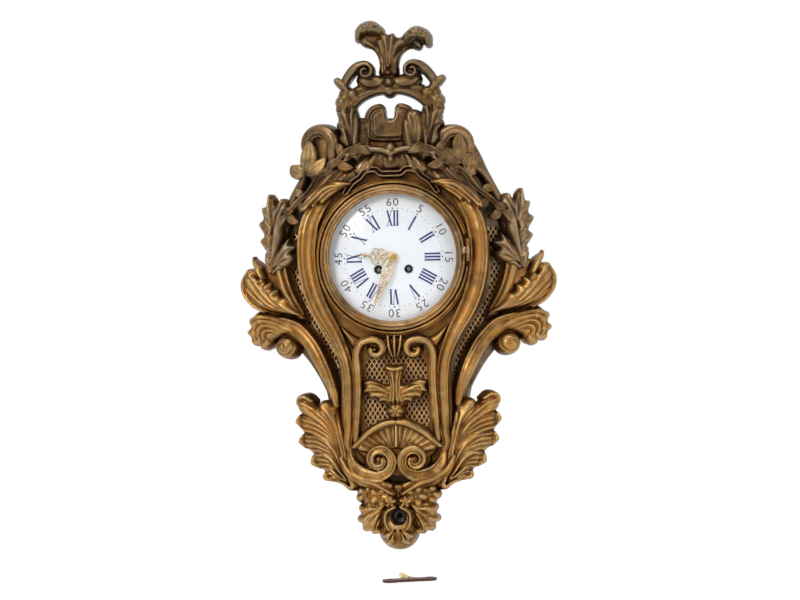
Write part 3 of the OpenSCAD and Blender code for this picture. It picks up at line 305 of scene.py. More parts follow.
class Relief:
    """Height field that strokes are laid into, like wax on a board, and that becomes one closed casting."""
    def __init__(self, low, high, step=0.7):
        self.step, self.side = step, 1
        xs = np.arange(low[0], high[0] + step, step)
        ys = np.arange(low[1], high[1] + step, step)
        self.x, self.y = np.meshgrid(xs, ys, indexing="ij")
        self.z = np.zeros_like(self.x)
        self.cover = np.full_like(self.x, -9.0)

    def sides(self):
        """Right side, then left side, for which all that is drawn is mirrored."""
        for self.side in (1, -1):
            yield self.side
        self.side = 1

    def place(self, points):
        return line(points) * [self.side, 1]

    def near(self, path, pad):
        low, high = path.min(0) - pad, path.max(0) + pad
        pick = (self.x >= low[0]) & (self.x <= high[0]) & (self.y >= low[1]) & (self.y <= high[1])
        return pick, np.stack([self.x[pick], self.y[pick]], 1)

    def lay(self, pick, new, edge, blend):
        old = self.z[pick]
        soft = blend * np.maximum(0, 1 - np.abs(old - new) / blend) ** 2 / 4
        self.z[pick] = np.maximum(old, new) + np.where((old > 0) & (new > 0), soft, 0)
        self.cover[pick] = np.maximum(self.cover[pick], edge)

    def stroke(self, points, width, height, profile=ROUND, blend=1.2, count=48):
        """Stroke along a line; one point makes a round boss."""
        path = self.place(points)
        ahead = np.array([[1.0, 0.0]])
        if len(path) > 1:
            path = curve(path, count)
            ahead = tangents(path)
        t = np.linspace(0, 1, len(path))
        w, h = spread(width, t), spread(height, t)
        n = np.stack([-ahead[:, 1], ahead[:, 0]], 1)
        pick, q = self.near(path, w.max() / 2 + 3 * self.step)
        gap = q[:, None, :] - path[None]
        # Nearest point of the line, where a wide place counts as nearer
        k = np.argmin((gap**2).sum(-1) - (w**2)[None] * 0.1, axis=1)
        v = gap[np.arange(len(q)), k]
        across, along = (v * n[k]).sum(-1), (v * ahead[k]).sum(-1)
        past = ((k == 0) & (along < 0)) | ((k == len(path) - 1) & (along > 0))
        s = np.where(past, np.hypot(across, along) * np.where(across < 0, -1, 1), across) / w[k]
        new = np.where(np.abs(s) <= 0.5, h[k] * np.interp(s, profile[:, 0], profile[:, 1]), 0.0)
        self.lay(pick, new, (0.5 - np.abs(s)) * w[k], blend)

    def plume(self, points, width, height, count, depth):
        """Broad soft lobe with fine flutes along it."""
        self.stroke(points, width, height, flutes(count, depth), 1.5, 60)

    def patch(self, points, height, edge):
        """Cushion that fills a closed outline."""
        ring = loop(self.place(points))
        pick, q = self.near(ring, 3 * self.step)
        far = np.sqrt(((q[:, None, :] - ring[None]) ** 2).sum(-1).min(1))
        d = np.where(inside(q, ring), far, -far)
        s = np.clip(d / edge, 0, 1)
        self.lay(pick, np.where(d > 0, height * (0.3 + 0.7 * np.sqrt(1 - (1 - s) ** 2)), 0), d, 1.2)

    def carve(self, points, width, depth, count=40):
        """Groove along a line in what is there."""
        path = curve(self.place(points), count)
        t = np.linspace(0, 1, len(path))
        w, cut = spread(width, t), spread(depth, t)
        pick, q = self.near(path, w.max())
        far = ((q[:, None, :] - path[None]) ** 2).sum(-1)
        k = far.argmin(1)
        self.z[pick] -= np.minimum(cut[k] * np.exp(-3 * far.min(1) / w[k] ** 2), 0.6 * self.z[pick])

    def vein(self, root, tip, bow, width, depth):
        """Groove from a root to a tip, with its middle moved by bow."""
        a, b = line(root), line(tip)
        self.carve([a, (a + b) / 2 + bow, b], width, depth)

    def cast(self, name, material, seat, node=None, base=0.0):
        """Closes the relief over a flat back and builds it; its height over the local mean marks the ridges,
        for rubbed wear with a painted highlight, and the hollows, for painted shade.
        """
        c = self.cover
        corners = [c[:-1, :-1], c[1:, :-1], c[1:, 1:], c[:-1, 1:]]
        keep = (np.maximum.reduce(corners) > 0) & (np.minimum.reduce(corners) > -2.5 * self.step)
        # Points just outside the outline move onto it
        gx, gy = np.gradient(c, self.step)
        size = np.maximum(gx**2 + gy**2, 0.25)
        back = np.where(c < 0, -c, 0)
        x, y = self.x + back * gx / size, self.y + back * gy / size
        solid = (c > 0).astype(float)
        mean = blurred(self.z * solid, 3) / np.maximum(blurred(solid, 3), 1e-3)
        worn = np.clip((self.z - mean) / RIDGE_H, -1, 1) * solid
        near = self.z.copy()
        for axis in (0, 1):
            near = np.maximum.reduce([near, np.roll(near, 1, axis), np.roll(near, -1, axis)])
        z = np.where(c < 0, np.maximum(0.4 * near, EDGE_H), np.maximum(self.z, EDGE_H))
        i, j = np.nonzero(keep)
        n = c.shape[1]
        a = i * n + j
        used, index = np.unique(np.stack([a, a + n, a + n + 1, a + 1], 1), return_inverse=True)
        x, y, z, worn = (q.ravel()[used] for q in (x, y, z, worn))
        casting = Casting()
        casting.slab(seat(np.stack([x, y, z], -1)), seat(np.stack([x, y, np.full_like(x, base)], -1)),
                     index.reshape(-1, 4), np.r_[worn, np.zeros_like(worn)])
        casting.build(name, material, replaces=(node,) if node else ())


# Materials

class Nodes:
    """Shorthand for building a node tree."""
    def __init__(self, name, kind=bpy.data.materials):
        self.owner = kind.new(name)
        self.owner.use_nodes = True
        self.tree = self.owner.node_tree
        self.tree.nodes.clear()
        self.coord = self.node("ShaderNodeTexCoord").outputs

    def node(self, kind, values=None, **settings):
        n = self.tree.nodes.new(kind)
        for k, v in settings.items():
            setattr(n, k, v)
        for k, v in (values or {}).items():
            if isinstance(v, bpy.types.NodeSocket):
                self.tree.links.new(v, n.inputs[k])
            else:
                n.inputs[k].default_value = v
        return n

    def ramp(self, factor, stops):
        n = self.node("ShaderNodeValToRGB", {"Fac": factor})
        e = n.color_ramp.elements
        while len(e) < len(stops):
            e.new(0.5)
        for item, (place, colour) in zip(e, stops):
            item.position = place
            item.color = (*colour, 1)
        return n.outputs["Color"]

    def level(self, factor, low, high, start=0.0, end=1.0):
        """Goes from start to end as the factor goes from low to high."""
        return self.ramp(factor, [(low, (start,) * 3), (high, (end,) * 3)])

    def noise(self, scale, detail, rough):
        values = {"Scale": scale, "Detail": detail, "Roughness": rough, "Vector": self.coord["Object"]}
        return self.node("ShaderNodeTexNoise", values).outputs["Fac"]

    def math(self, op, a, b):
        return self.node("ShaderNodeMath", {0: a, 1: b}, operation=op).outputs[0]

    def times(self, a, b):
        return self.math("MULTIPLY", a, b)

    def blend(self, a, b):
        return self.math("ADD", self.times(a, 0.6), self.times(b, 0.4))

    def vector(self, op, a, b, out="Vector"):
        return self.node("ShaderNodeVectorMath", {0: a, 1: b}, operation=op).outputs[out]

    def mix(self, factor, a, b):
        values = {"Factor": factor, "A": a, "B": b}
        return self.node("ShaderNodeMix", values, data_type="RGBA").outputs["Result"]

    def surface(self, values, bump=None):
        shader = self.node("ShaderNodeBsdfPrincipled", values)
        if bump is not None:
            height, strength, distance = bump
            n = self.node("ShaderNodeBump", {"Strength": strength, "Distance": distance, "Height": height})
            self.tree.links.new(n.outputs["Normal"], shader.inputs["Normal"])
        self.node("ShaderNodeOutputMaterial", {"Surface": shader.outputs[0]})
        return self.owner


def gilt(name, bright, middle, dark, shade_and_patina=0.75, rough=(0.27, 0.5), hollow_mm=9.0, metal=0.84):
    """Fire-gilt bronze: brown in the hollows from patina and painted shade, rubbed bright on the high parts
    with a painted highlight, clouded all over.
    """
    m = Nodes(name)

    def scaled(colour, *shares):
        return (*(c * k for c, k in zip(colour, shares)), 1)
    cloud, fleck = m.noise(38.0, 5.0, 0.6), m.noise(120.0, 4.0, 0.6)
    speck, broad = m.noise(420.0, 3.0, 0.6), m.noise(17.0, 3.0, 0.5)
    hollow = m.node("ShaderNodeAmbientOcclusion", {"Distance": hollow_mm * MM}, samples=8).outputs["AO"]
    worn = m.node("ShaderNodeAttribute", attribute_name="worn").outputs["Fac"]
    ground = m.ramp(m.blend(cloud, fleck), [(0.38, dark), (0.5, middle), (0.64, bright)])
    red = m.mix(m.times(m.level(broad, 0.46, 0.62), 0.6), ground, scaled(bright, 0.78, 0.6, 0.4))
    # Painted highlight with rubbed wear: the high places of the relief turn a paler bright gold
    rubbed_and_highlit = m.mix(m.times(m.level(worn, 0.08, 0.6), 0.85), red, scaled(bright, 1, 1.08, 1.3))
    # Painted shade with patina: recesses found by ambient occlusion, and the low places of the relief,
    # darken to brown
    deep = m.times(m.level(m.times(worn, -1.0), 0.1, 0.8), 0.8)
    shade = m.math("MAXIMUM", m.level(hollow, 0.35, 0.85, 1.0, 0.0), deep)
    painted_shade_and_patina = m.mix(m.times(shade, shade_and_patina), rubbed_and_highlit, scaled(dark, 0.8, 0.72, 0.66))
    dusty = m.mix(m.times(m.level(speck, 0.5, 0.7), 0.25), painted_shade_and_patina, (*dark, 1))
    hues = [(0.38, (1.13, 0.96, 0.7)), (0.5, (1, 1, 1)), (0.62, (0.95, 0.99, 1.14))]
    tinted = m.vector("MULTIPLY", dusty, m.ramp(m.noise(95.0, 5.0, 0.66), hues))
    gloss = m.level(m.blend(cloud, speck), 0.3, 0.7, rough[1], rough[0])
    grain = m.math("ADD", m.times(speck, 0.5), m.noise(150.0, 4.0, 0.6))
    return m.surface({"Base Color": tinted, "Metallic": metal, "Roughness": gloss}, (grain, 0.16, 0.0004))


def brass(name, bright, dark):
    m = Nodes(name)
    cloud, fine = m.noise(60.0, 4.0, 0.55), m.noise(900.0, 2.0, 0.5)
    colour = m.ramp(cloud, [(0.3, dark), (0.7, bright)])
    gloss = m.level(cloud, 0.3, 0.7, 0.36, 0.18)
    return m.surface({"Base Color": colour, "Metallic": 1.0, "Roughness": gloss}, (fine, 0.08, 0.0001))


def enamel():
    """White enamel with painted light: a little whiter towards the edge, against the shade that the bezel
    casts on the dial.
    """
    m = Nodes("white_enamel")
    cloud, pits = m.noise(14.0, 3.0, 0.5), m.noise(700.0, 2.0, 0.5)
    middle = m.ramp(cloud, [(0.3, (0.81, 0.85, 0.9)), (0.7, (0.86, 0.89, 0.92))])
    flat = m.vector("MULTIPLY", m.coord["Object"], (1.0, 0.0, 1.0))
    radius = m.vector("DISTANCE", flat, (0.0, 0.0, -HANG_Y * MM), "Value")
    # Painted light: the enamel goes whiter towards the rim to cancel the bezel's shade
    edge = m.level(m.math("DIVIDE", radius, DIAL_R * MM), 0.6, 0.95)
    return m.surface({"Base Color": m.mix(edge, middle, (0.97, 0.98, 1.0, 1)), "Coat Weight": 0.4,
                      "Coat Roughness": 0.05, "Roughness": m.level(pits, 0.3, 0.7, 0.1, 0.2)},
                     (pits, 0.03, 0.0001))


def ink(name, colour, wash):
    m = Nodes(name)
    fade = m.noise(160.0, 3.0, 0.6)
    return m.surface({"Base Color": m.ramp(fade, [(0.3, colour), (0.75, wash)]),
                      "Roughness": m.level(fade, 0.3, 0.7, 0.25, 0.4)})


def clear_glass():
    m = Nodes("dial_glass")
    haze = m.level(m.noise(22.0, 3.0, 0.5), 0.4, 0.9, 0.0, 0.03)
    return m.surface({"Base Color": (0.99, 0.995, 1.0, 1), "Transmission Weight": 1.0, "IOR": 1.03,
                      "Alpha": 0.2, "Roughness": haze})


def cloth():
    m = Nodes("grille_silk")
    waves = {"Scale": 900.0, "Distortion": 1.0, "Vector": m.coord["Object"]}
    warp = m.node("ShaderNodeTexWave", waves).outputs["Fac"]
    cloud = m.noise(30.0, 4.0, 0.6)
    ground = m.ramp(cloud, [(0.3, (0.1, 0.026, 0.003)), (0.7, (0.17, 0.048, 0.006))])
    return m.surface({"Base Color": m.mix(m.times(warp, 0.5), ground, (0.2, 0.055, 0.008, 1)),
                      "Roughness": m.level(cloud, 0.3, 0.7, 0.75, 0.95), "Specular IOR Level": 0.1},
                     (warp, 0.2, 0.0002))


def japan():
    """Brown japanned iron, worn through at its edges."""
    m = Nodes("japanned_iron")
    cloud = m.noise(120.0, 5.0, 0.6)
    wear = m.node("ShaderNodeNewGeometry").outputs["Pointiness"]
    ground = m.ramp(cloud, [(0.3, (0.05, 0.014, 0.01)), (0.7, (0.14, 0.04, 0.025))])
    colour = m.mix(m.level(wear, 0.52, 0.62), ground, (0.05, 0.035, 0.03, 1))
    gloss = m.level(cloud, 0.3, 0.7, 0.34, 0.5)
    return m.surface({"Base Color": colour, "Metallic": 0.35, "Roughness": gloss}, (cloud, 0.15, 0.0003))


GILT = gilt("gilt_bronze", (0.425, 0.25, 0.08), (0.225, 0.11, 0.027), (0.095, 0.039, 0.008))
DARK_GILT = gilt("dark_gilt_bronze", (0.26, 0.166, 0.076), (0.115, 0.061, 0.022),
                 (0.045, 0.021, 0.007), 0.85)
CREST_GILT = gilt("crest_bronze", (0.215, 0.142, 0.064), (0.094, 0.052, 0.019), (0.037, 0.018, 0.006), 0.85)
SPRIG_GILT = gilt("sprig_bronze", (0.34, 0.235, 0.12), (0.165, 0.102, 0.045), (0.07, 0.039, 0.017),
                  0.8, (0.4, 0.6))
BEZEL_GILT = gilt("bezel_gilt", (0.41, 0.28, 0.135), (0.27, 0.165, 0.07), (0.145, 0.08, 0.03),
                  0.3, (0.24, 0.42), 3.0)
PALE_GILT = gilt("pale_gilt", (0.82, 0.66, 0.4), (0.66, 0.49, 0.25), (0.44, 0.3, 0.13),
                 0.5, (0.2, 0.36), 3.0)
NET_GILT = gilt("net_gilt", (1.0, 0.8, 0.46), (0.97, 0.7, 0.36), (0.85, 0.56, 0.25),
                0.02, (0.35, 0.5), 1.0, 0.1)
LEAF_GILT = gilt("leaf_bronze", (0.47, 0.34, 0.17), (0.31, 0.21, 0.09), (0.15, 0.09, 0.04),
                 0.75, (0.34, 0.56))
CASE_BRONZE = gilt("case_bronze", (0.22, 0.165, 0.1), (0.14, 0.097, 0.053), (0.06, 0.038, 0.019),
                   0.7, (0.5, 0.7))
BRASS = brass("movement_brass", (0.78, 0.58, 0.24), (0.6, 0.42, 0.16))
STEEL = brass("polished_steel", (0.5, 0.5, 0.52), (0.3, 0.31, 0.34))
BELL = brass("bell_bronze", (0.62, 0.56, 0.44), (0.42, 0.36, 0.27))
# Near-black ink for painted shade inside openings
HOLE_SHADE_INK = ink("painted_hole_shade", (0.006, 0.004, 0.003), (0.02, 0.012, 0.008))
ENAMEL = enamel()
BLUE_INK = ink("blue_numeral_paint", (0.012, 0.014, 0.13), (0.06, 0.07, 0.26))
BLACK_INK = ink("black_numeral_paint", (0.012, 0.012, 0.014), (0.06, 0.06, 0.07))
GLASS = clear_glass()
CLOTH = cloth()
IRON = japan()


# Crest

def make_crest():
    r = Relief((-66, 112), (66, 268))
    for _ in r.sides():
        # Arch with its legs
        r.stroke("48,114 48,140 46,156 42,166", "17 19 17 13", "10 12 13 14")
        r.stroke("50,154 43,168 31,178 15,184 0,185", "16 14 12 11 11", "13 15 15 15 15", CUSHION)
        r.stroke("48,166 36,183 18,190", "14 13 12", "14 15 15")
    # Cartouche: a yoke-shaped shield with a moulded edge
    shield = mirrored("0,153.5 3.4,154.5 4.2,159 5,165 8.5,169 14,169.5 21,167 26,162 28.5,155 27,147 "
                      "28,138 26,130 13,127")
    r.patch(shield, 13, 4)
    middle = np.array([0, 144])
    for share, depth in ((0.9, 2.2), (0.8, 3.0), (0.7, 1.6)):
        r.carve(((loop(shield) - middle) * share + middle)[::8], 1.8, depth, 320)
    for _ in r.sides():
        # Volutes with their arms, the bowls under them
        r.stroke("26,204", 20, 19, CUSHION)
        r.patch("2,184 2,197 10,200 20,203 31,202 36.5,197 34.5,189.5 27,184.6 16,183 8,183", 19, 12)
        r.carve("35,195 27,187.4 15,186 5,191", 1.8, 1.6)
        arm = joined("51,188 47.5,196 42,203.5 35,210", spiral((25.5, 204), 8.8, 2.4, 66, 470, 30),
                     count=80)
        r.stroke(arm, "9 11 11.5 10 7.4 6 5.2 4.4", "14 18 21 23 24 24 25 25", RAIL, 0.6, 150)
        r.stroke("58,196 54,192", "8.5 10", 14)
        r.stroke("54,194 47,184 48,170", "9 12 12", "15 17 17", blend=3)
        # Dark mass over the feet of the arch
        r.patch("40,158 41,170 37,182 45,189 55,185 58,173 60,163 55,155 48,152", 17, 10)
        r.stroke("39,176 41,180", "12.8 16", "17 20", blend=5)
        r.stroke("51,168 53,172", "12.8 16", "15 18", blend=5)
        # Broad leaf beside the cartouche, and the ground between them
        r.patch("35,114 45,116 53,122 57,131 55,138 59.5,146 57,153 59,161 53,165 47,163 43,168 37,166 "
                "34,158 32,148 33,132", 21, 10)
        for x, y in ((57, 147), (55, 162), (46, 164), (38, 164)):
            r.carve([(42, 116), (42 + 0.35 * (x - 42), 138), (x, y)], "2 3.2 3", "1 2.6 2")
        r.patch("37,113 37,150 32,155 26,152 23,140 23,113", 11, 5)
    # Leaf that laps over the right of the cartouche
    r.patch("15,118 12,136 13,150 18,160 25,162.5 32,161 37,156 39,146 38,128 30,115", 21, 9)
    for x, y in ((17, 154), (24, 158), (32, 156)):
        r.carve([(27, 116), ((27 + x) / 2, 138), (x, y)], "2 3 3", "1 2 0.8")
    r.stroke("0,184 0,212", "17 19", 16)
    for y, w in ((209.5, 7), (202, 8.6), (191.8, 14)):
        r.stroke([(0, y)], w, 25)
    # Plume: a fluted trunk that opens under two rolled knobs
    r.patch("-10,200 -10.5,212 -12.5,221 -18,229 -28,233 -33,240 -26,247 -12,247 -6,248.5 0,245.5 5,247 "
            "10,242 20,243 34,240 38,233 34,227 23,229 14,222 11,212 10,200", 17, 13)
    for x, y, top in ((-6, -23, 240), (-3.4, -10, 243), (0, 1, 243), (3.4, 10, 239), (6, 26, 234)):
        r.carve([(x, 203), (x * 1.1, 220), (y * 0.6, 0.6 * top + 90), (y, top)],
                "1.6 2.4 3 3.4", "1 2 2.4 2")
    for s, x, y in ((-1, -20, 251.5), (1, 31, 244)):
        r.carve([(s * 8, 219), (s * 12, 227), (x * 0.8, y - 13)], "4 7 10", "1 4 5")
        r.stroke([(x + s * 13, y - 10), (x + s * 11, y - 3)], "9 13", "20 24", blend=6)
        r.stroke([(x + s * 7, y - 1), (x, y + 1), (x - s * 10, y - 3)], "17 18 13", "26 27 20", blend=7)
        for k in range(5):
            v = ray(math.radians(90 - s * (70 - 32 * k)), high=0.62)
            o = np.array([x + s * 3, y - 3])
            r.carve([o + v * 4, o + v * 16], "1.6 2.2", "1 2")
    r.cast("crest_casting", CREST_GILT, front_seat(CASE_D), "crest", -2.0)


# Side castings

def make_wing(side, word):
    r = Relief((58, -172), (178, 30))
    # Upper rail, from the shoulder leaf's foot to the root of the hip leaf
    r.stroke("127,14 125,-8 120,-28 112,-46 99,-66", "13 16 15 12 4", "13 16 16 14 8", MOULD, 0.8, 80)
    # Lower rail, which runs from the waist up and out
    r.stroke("65,-162 67,-148 73,-128 81,-109 91,-93 106,-79 124,-72 142,-71", "8 13 16 17.5 19 21 20 15",
             "9 13 16 18 18 18 18 15", RAIL, 0.8, 120)
    # Whorl: the rail's end, which breaks over like a wave
    r.patch("98,-84 112,-69 128,-62 143,-59 153,-58 160.5,-62 164,-69 163,-74 166.5,-80 163,-86 160.5,-92 "
            "153,-94 149,-99.5 141,-99 135,-94 130,-87 114,-84", 21, 12)
    eye = np.array([134.0, -87.0])
    wave = line("100,-80 116,-69 136,-61.5 152,-60 162,-66 164,-78 160,-90 148,-98")
    for k in range(4):
        r.carve(eye + (wave - eye) * (0.84 - 0.2 * k), "1.6 2.4 3 3", "0.2 1 2.6 2.6 2")
    for tip in line("153,-61 161.5,-67 163.5,-80 158,-91 147,-96"):
        v = (tip - eye) / math.hypot(*(tip - eye))
        r.stroke([tip - v * 9, tip], "8 10", "20 15", blend=6)
    # Rolled ball under the whorl
    r.stroke("119.5,-97", 28, 23)
    r.carve(spiral((119.5, -97), 11, 2.5, 150, 520, 20), 1.6, 1.4, 90)
    r.patch("112,-46 124,-42 152,-14 148,-4 130,-2 120,-24", 7, 5)
    # Upper hip leaf: one broad mass with flutes from its root, a rolled rim and soft ruffles
    r.patch("97,-66 112,-63 126,-61 140,-59 152,-55 161,-48 168,-39 171,-28 169,-16 163,-9 156,-8 151,-11 "
            "150,-17 144,-17 143,-24 136,-24 135,-31 128,-32 126,-39 118,-42 108,-54", 21, 12)
    for x, y, bow in ((140, -57, 1), (152, -52, 2), (161, -44, 3.5), (166, -34, 5), (167, -24, 6),
                      (164, -14, 6), (157, -11, 5)):
        r.carve([(102, -63), (102 + (x - 102) * 0.55, -63 + (y + 63) * 0.45 - bow), (x, y)], "1.6 2.4 2.8",
                "0.8 2.4 1.6")
    r.stroke("146,-57 158,-49 167,-37 169,-24 164,-11", "5 8 9 9 7", "15 18 19 19 16", ROUND, 3, 70)
    r.stroke("146,-18 152,-8 159,0 161,5", "8 11 8 2", "19 19 14 8")
    r.cast(f"{word}_wing_casting", GILT, flank_seat(side), f"{word}_wing")


def make_shoulder(side, word):
    """Ear of the case and the dark leaf that climbs to it."""
    r = Relief((48, -22), (156, 154))
    ear = np.array([64.0, 122.0] if side > 0 else [74.0, 126.5])
    r.stroke([ear + [0, 1], ear + [1, -20]], "24 25", 13, CUSHION)
    r.stroke([ear + [18, -20], (97, 92), (110, 70), (119, 46), (124, 16)], "11 11 12 12 10", 10)
    scroll = [ear + [20, -30], spiral(ear, 15.5, 15.5, -20, 200, 14), ear + [-13, -18], ear + [-6, -34]]
    r.stroke(np.vstack(scroll), "12 15 16 16 16 14", "12 17 20 20 17 11", RAIL, 1.5, 100)
    r.cast(f"{word}_ear_casting", DARK_GILT, flank_seat(side))
    r = Relief((96, -24), (156, 84))
    r.patch("139,-14 144,2 141,9 148.5,22 144,29 150,42 144.5,48 146,60 141,62 138,75 132,70 128.6,61 "
            "123,69.5 116,66.5 112,58 116,51 113,44 118,36 119,26 123,16 128,2 132,-12", 18, 9)
    r.carve("136,-10 132,18 130,40 134,70", 2.4, 2.6)
    r.carve("131,30 125,50 118,64", 2.2, 2.4)
    for y0, x, y in ((0, 142, 8), (12, 146, 24), (26, 147, 42), (40, 144, 58)):
        r.vein((133, y0), (x, y), (0, 1), 1.8, 1.4)
        r.stroke([(x - 7, y - 8), (x - 2, y - 1)], "8 9", "17 14", blend=6)
    r.patch("134,-16 126,-13 117,-9 110,-5 105,2 109,8 104.5,15 111,18 113,25 119,20 125,12 132,0", 19, 7)
    for tip in ((107, 2), (107, 15), (114, 22), (118, -8)):
        r.vein((131, -10), tip, (0, 3), 1.8, 1.8)
    r.cast(f"{word}_shoulder_leaf", SPRIG_GILT, flank_seat(side, SHOULDER_LIFT))


def make_sprig(side, word):
    c, oak = Casting(), Casting()
    seat = flank_seat(side, SPRIG_LIFT)
    band(c, seat, curve("26,122 42,116 56,102 72,92 84,76 100,63 112,50", 60), "5 7 6 8 6 7 4", 7, ROLLED)

    def blade(casting, root, tip, w, bow, h):
        a, b = line(root), line(tip)
        off = bow * np.array([a[1] - b[1], b[0] - a[0]])
        shape = np.sin(math.pi * np.clip(np.linspace(0, 1, 30) * 0.93 + 0.07, 0, 1)) ** 0.75
        band(casting, seat, curve([a, (a + b) / 2 + off, b], 30), np.maximum(w * shape, 0.7),
             2 + (h - 2) * shape, BLADE, 1.0)
    for x0, y0, x, y, w, bow in (
            (40, 115, 24, 126, 10, 0.2), (36, 117, 14, 113, 11, -0.15), (50, 109, 34, 99, 11, 0.2),
            (48, 110, 54, 127, 9, 0.2), (64, 98, 42, 104, 11, -0.2), (70, 92, 52, 80, 12, 0.15),
            (70, 93, 58, 103, 10, 0.2), (78, 85, 88, 103, 10, 0.2), (84, 79, 66, 72, 12, 0.15),
            (92, 70, 106, 73, 10, 0.2), (98, 64, 80, 56, 11, 0.2), (104, 58, 118, 54, 10, -0.15),
            (110, 52, 98, 42, 10, 0.2), (112, 50, 122, 36, 9, 0.15)):
        blade(c, (x0, y0), (x, y), w, bow, 6)
    # Three-lobed leaf on the ear, which is not the same on both sides
    if side > 0:
        root, lobes = np.array([71.0, 103.0]), ((68, 137, 16, 0.05), (50, 119, 17, 0.1), (87, 111, 17, -0.1))
    else:
        root, lobes = np.array([89.0, 95.0]), ((84, 132, 19, 0.05), (65, 111, 17, 0.1), (107, 105, 17, -0.1))
    band(c, seat, curve([root + [10, -24], root + [4, -12], root + [0, 2]], 20), 4, 6, ROUND)
    for x, y, w, bow in lobes:
        blade(oak, root, (x, y), w, bow, 7)
    oak.build(f"{word}_oak_leaf", SPRIG_GILT if side > 0 else LEAF_GILT)
    c.build(f"{word}_sprig_casting", SPRIG_GILT, replaces=(f"{word}_sprig",))


def make_flank_leaf(side, word):
    r = Relief((38, -264), (124, -140))
    r.patch("91,-154 98,-149.5 105,-151.5 109.5,-158 108,-166 105,-172 107,-179 105,-187 102.5,-193 "
            "104,-200 102,-208 96,-212 92,-216 91,-224 85,-231 80,-234 77,-241 69,-246 58,-250 49,-256 "
            "43,-252 48,-228 53,-205 58,-185 64,-168 71,-158 79,-156 86,-161", 19, 13)
    # Flutes rise from the foot and bend out into the lobes
    for text in ("54,-226 66,-186 84,-166 102,-155", "55,-228 66,-200 82,-186 105,-179",
                 "56,-232 66,-215 82,-205 101,-203", "57,-238 66,-228 76,-224 88,-225",
                 "56,-244 62,-241 68,-239 75,-241"):
        lobe = line(text)
        ahead = lobe[3] - lobe[2]
        aside = np.array([ahead[1], -ahead[0]]) * 5.2 / math.hypot(*ahead)
        for k in (-1, 0, 1):
            flute = lobe + k * aside * [[0.15], [0.5], [0.9], [1.0]]
            r.carve(np.vstack([(48, -249), flute]), "1.6 2 2.2 2.4 2.2", "1.5 2.2 2.6 2.4 1.2", 60)
    # Cuts between the lobes and their rolled tips
    for x0, y0, x, y in ((86, -161, 76, -172), (103, -172, 84, -178), (99, -193, 80, -197),
                         (89, -216, 76, -214), (77, -235, 68, -232)):
        r.vein((x0, y0), (x, y), (0, 1), "3 2.6 2", "3.4 2.6 0.6")
    for tip in ("90,-157 97,-152.5 104,-154 107,-160", "104,-174 105,-179 103,-186",
                "101,-196 102,-201 99,-208", "89,-219 88,-225 83,-230", "75,-237 74,-241 68,-244"):
        r.stroke(tip, "6 9 6", "17 21 15", blend=5)
    # Sheath along the frame
    r.stroke("66,-166 58,-196 52,-226 44,-250", "8 12 13 9", "11 14 14 10", ROUND, 5, 70)
    r.carve("63,-172 57,-198 51,-228", 1.8, 2)
    r.cast(f"{word}_flank_leaf_casting", GILT, flank_seat(side), f"{word}_flank_leaf")


# Front

def make_frame_band(side, word):
    r = Relief((30, -226), (118, 100))
    r.stroke("72,68 82,56 91,38 95,8 92,-24 82,-54 66,-83 55,-110 "
             "51.5,-136 52,-166 52.5,-188 54,-204 50,-218",
             "14 20 22 21 21 21 20 17 14.5 14 13.5 12 10 7", "11 15 17 17 17 17 17 16 15 14 13 12 10 8",
             BANDED, 0.4, 240)
    # Gilt wave that breaks over the head of the band
    r.patch("42,81 48,85 58,86.5 70,84 81,78.5 91,70 98,61 101,52 94,52 90,56 85,55 81,60 76,59 70,64 "
            "62,69 54,75", 23, 8)
    for groove in ("50,80 72,80 96,58", "52,79 70,75 88,59", "56,77 69,71 79,62"):
        r.carve(groove, "1.6 2.8 3.4", "1 3 4.4")
    r.cast(f"{word}_frame_moulding", GILT, front_seat(FRONT_D, side), f"{word}_frame_band")


def make_top_collar():
    r = Relief((-100, 46), (100, 130))
    for _ in r.sides():
        # Smooth coves
        r.patch("44,104 58,102 74,92 90,76 97,60 88,54 76,60 62,72 46,82", 11, 15)
        r.patch("0,116 16,120 34,116 50,102 63,84 56,74 44,79 30,89 14,94 0,95", 9, 16)
        r.carve("40,108 56,94 70,80", "5 9 6", "2 4 2")
        # Fold that hangs in the hollow
        r.patch("13,115 26,113 37,107 43,98 38,90 28,91 20,95", 14, 11)
        r.carve("22,112 27,102 31,93", "3 5 5", "1 2.4 2")
        # Leaf over the cove
        r.patch("20,122 30,126 40,124 46,119 55,117 52,111 56,104 48,104 43,108 36,106 30,113", 19, 7)
        for tip in ((53, 116), (53, 105), (38, 107), (40, 123)):
            r.vein((22, 121), tip, (1, 1), 1.8, 1.5)
    # Strapwork over the bezel
    strap = line("50,72 43,82 34,88.5 28,95 17,96.5 11,92 0,91.5")
    r.stroke(np.vstack([strap, strap[-2::-1] * [-1, 1]]), 8, 14, TWIN, 0.3, 160)
    r.patch(mirrored("0,114 11,113 12,104 8,97 0,95"), 11, 9)
    # Lip
    r.stroke("-36,110 -26,118 -11,118 0,114 11,118 26,118 36,110", "6 10 10 9 10 10 6",
             "12 16 17 16 17 16 12", ROUND, 4, 80)
    r.stroke("0,119 0,108", "16 9", "18 14", blend=6)
    r.cast("top_collar_casting", DARK_GILT, front_seat(), "top_collar")


def make_panel_scrolls():
    r = Relief((-62, -204), (62, -72))
    for _ in r.sides():
        r.patch("34,-90 44,-85 59,-75 54,-88 47,-100 43,-108 38,-98", 10, 8)
        r.stroke("21.5,-100.5", 20, 8, CUSHION)
        scroll = joined("45,-200 43.5,-176 41.5,-146 41.5,-122 42,-106 37,-94 28,-90",
                        spiral((21.5, -100.5), 10.5, 4.6, 78, 352, 24), count=90)
        r.stroke(scroll, "9 10 11 11 11.5 11 10 9.5 9 8", "8 12 12 13 15 17 18 18 17", RAIL, 0.4, 150)
        r.stroke("21.5,-100.5", 6, 15)
    r.stroke("-9,-92 9,-92", 9, 9, CUSHION)
    for x in (-6, 0, 6):
        r.stroke([(x * 1.2, -86), (x, -98), (x * 0.4, -110)], "6 6.4 3", "13 16 10")
    r.cast("panel_scroll_frame", GILT, front_seat(), "panel_scrolls")


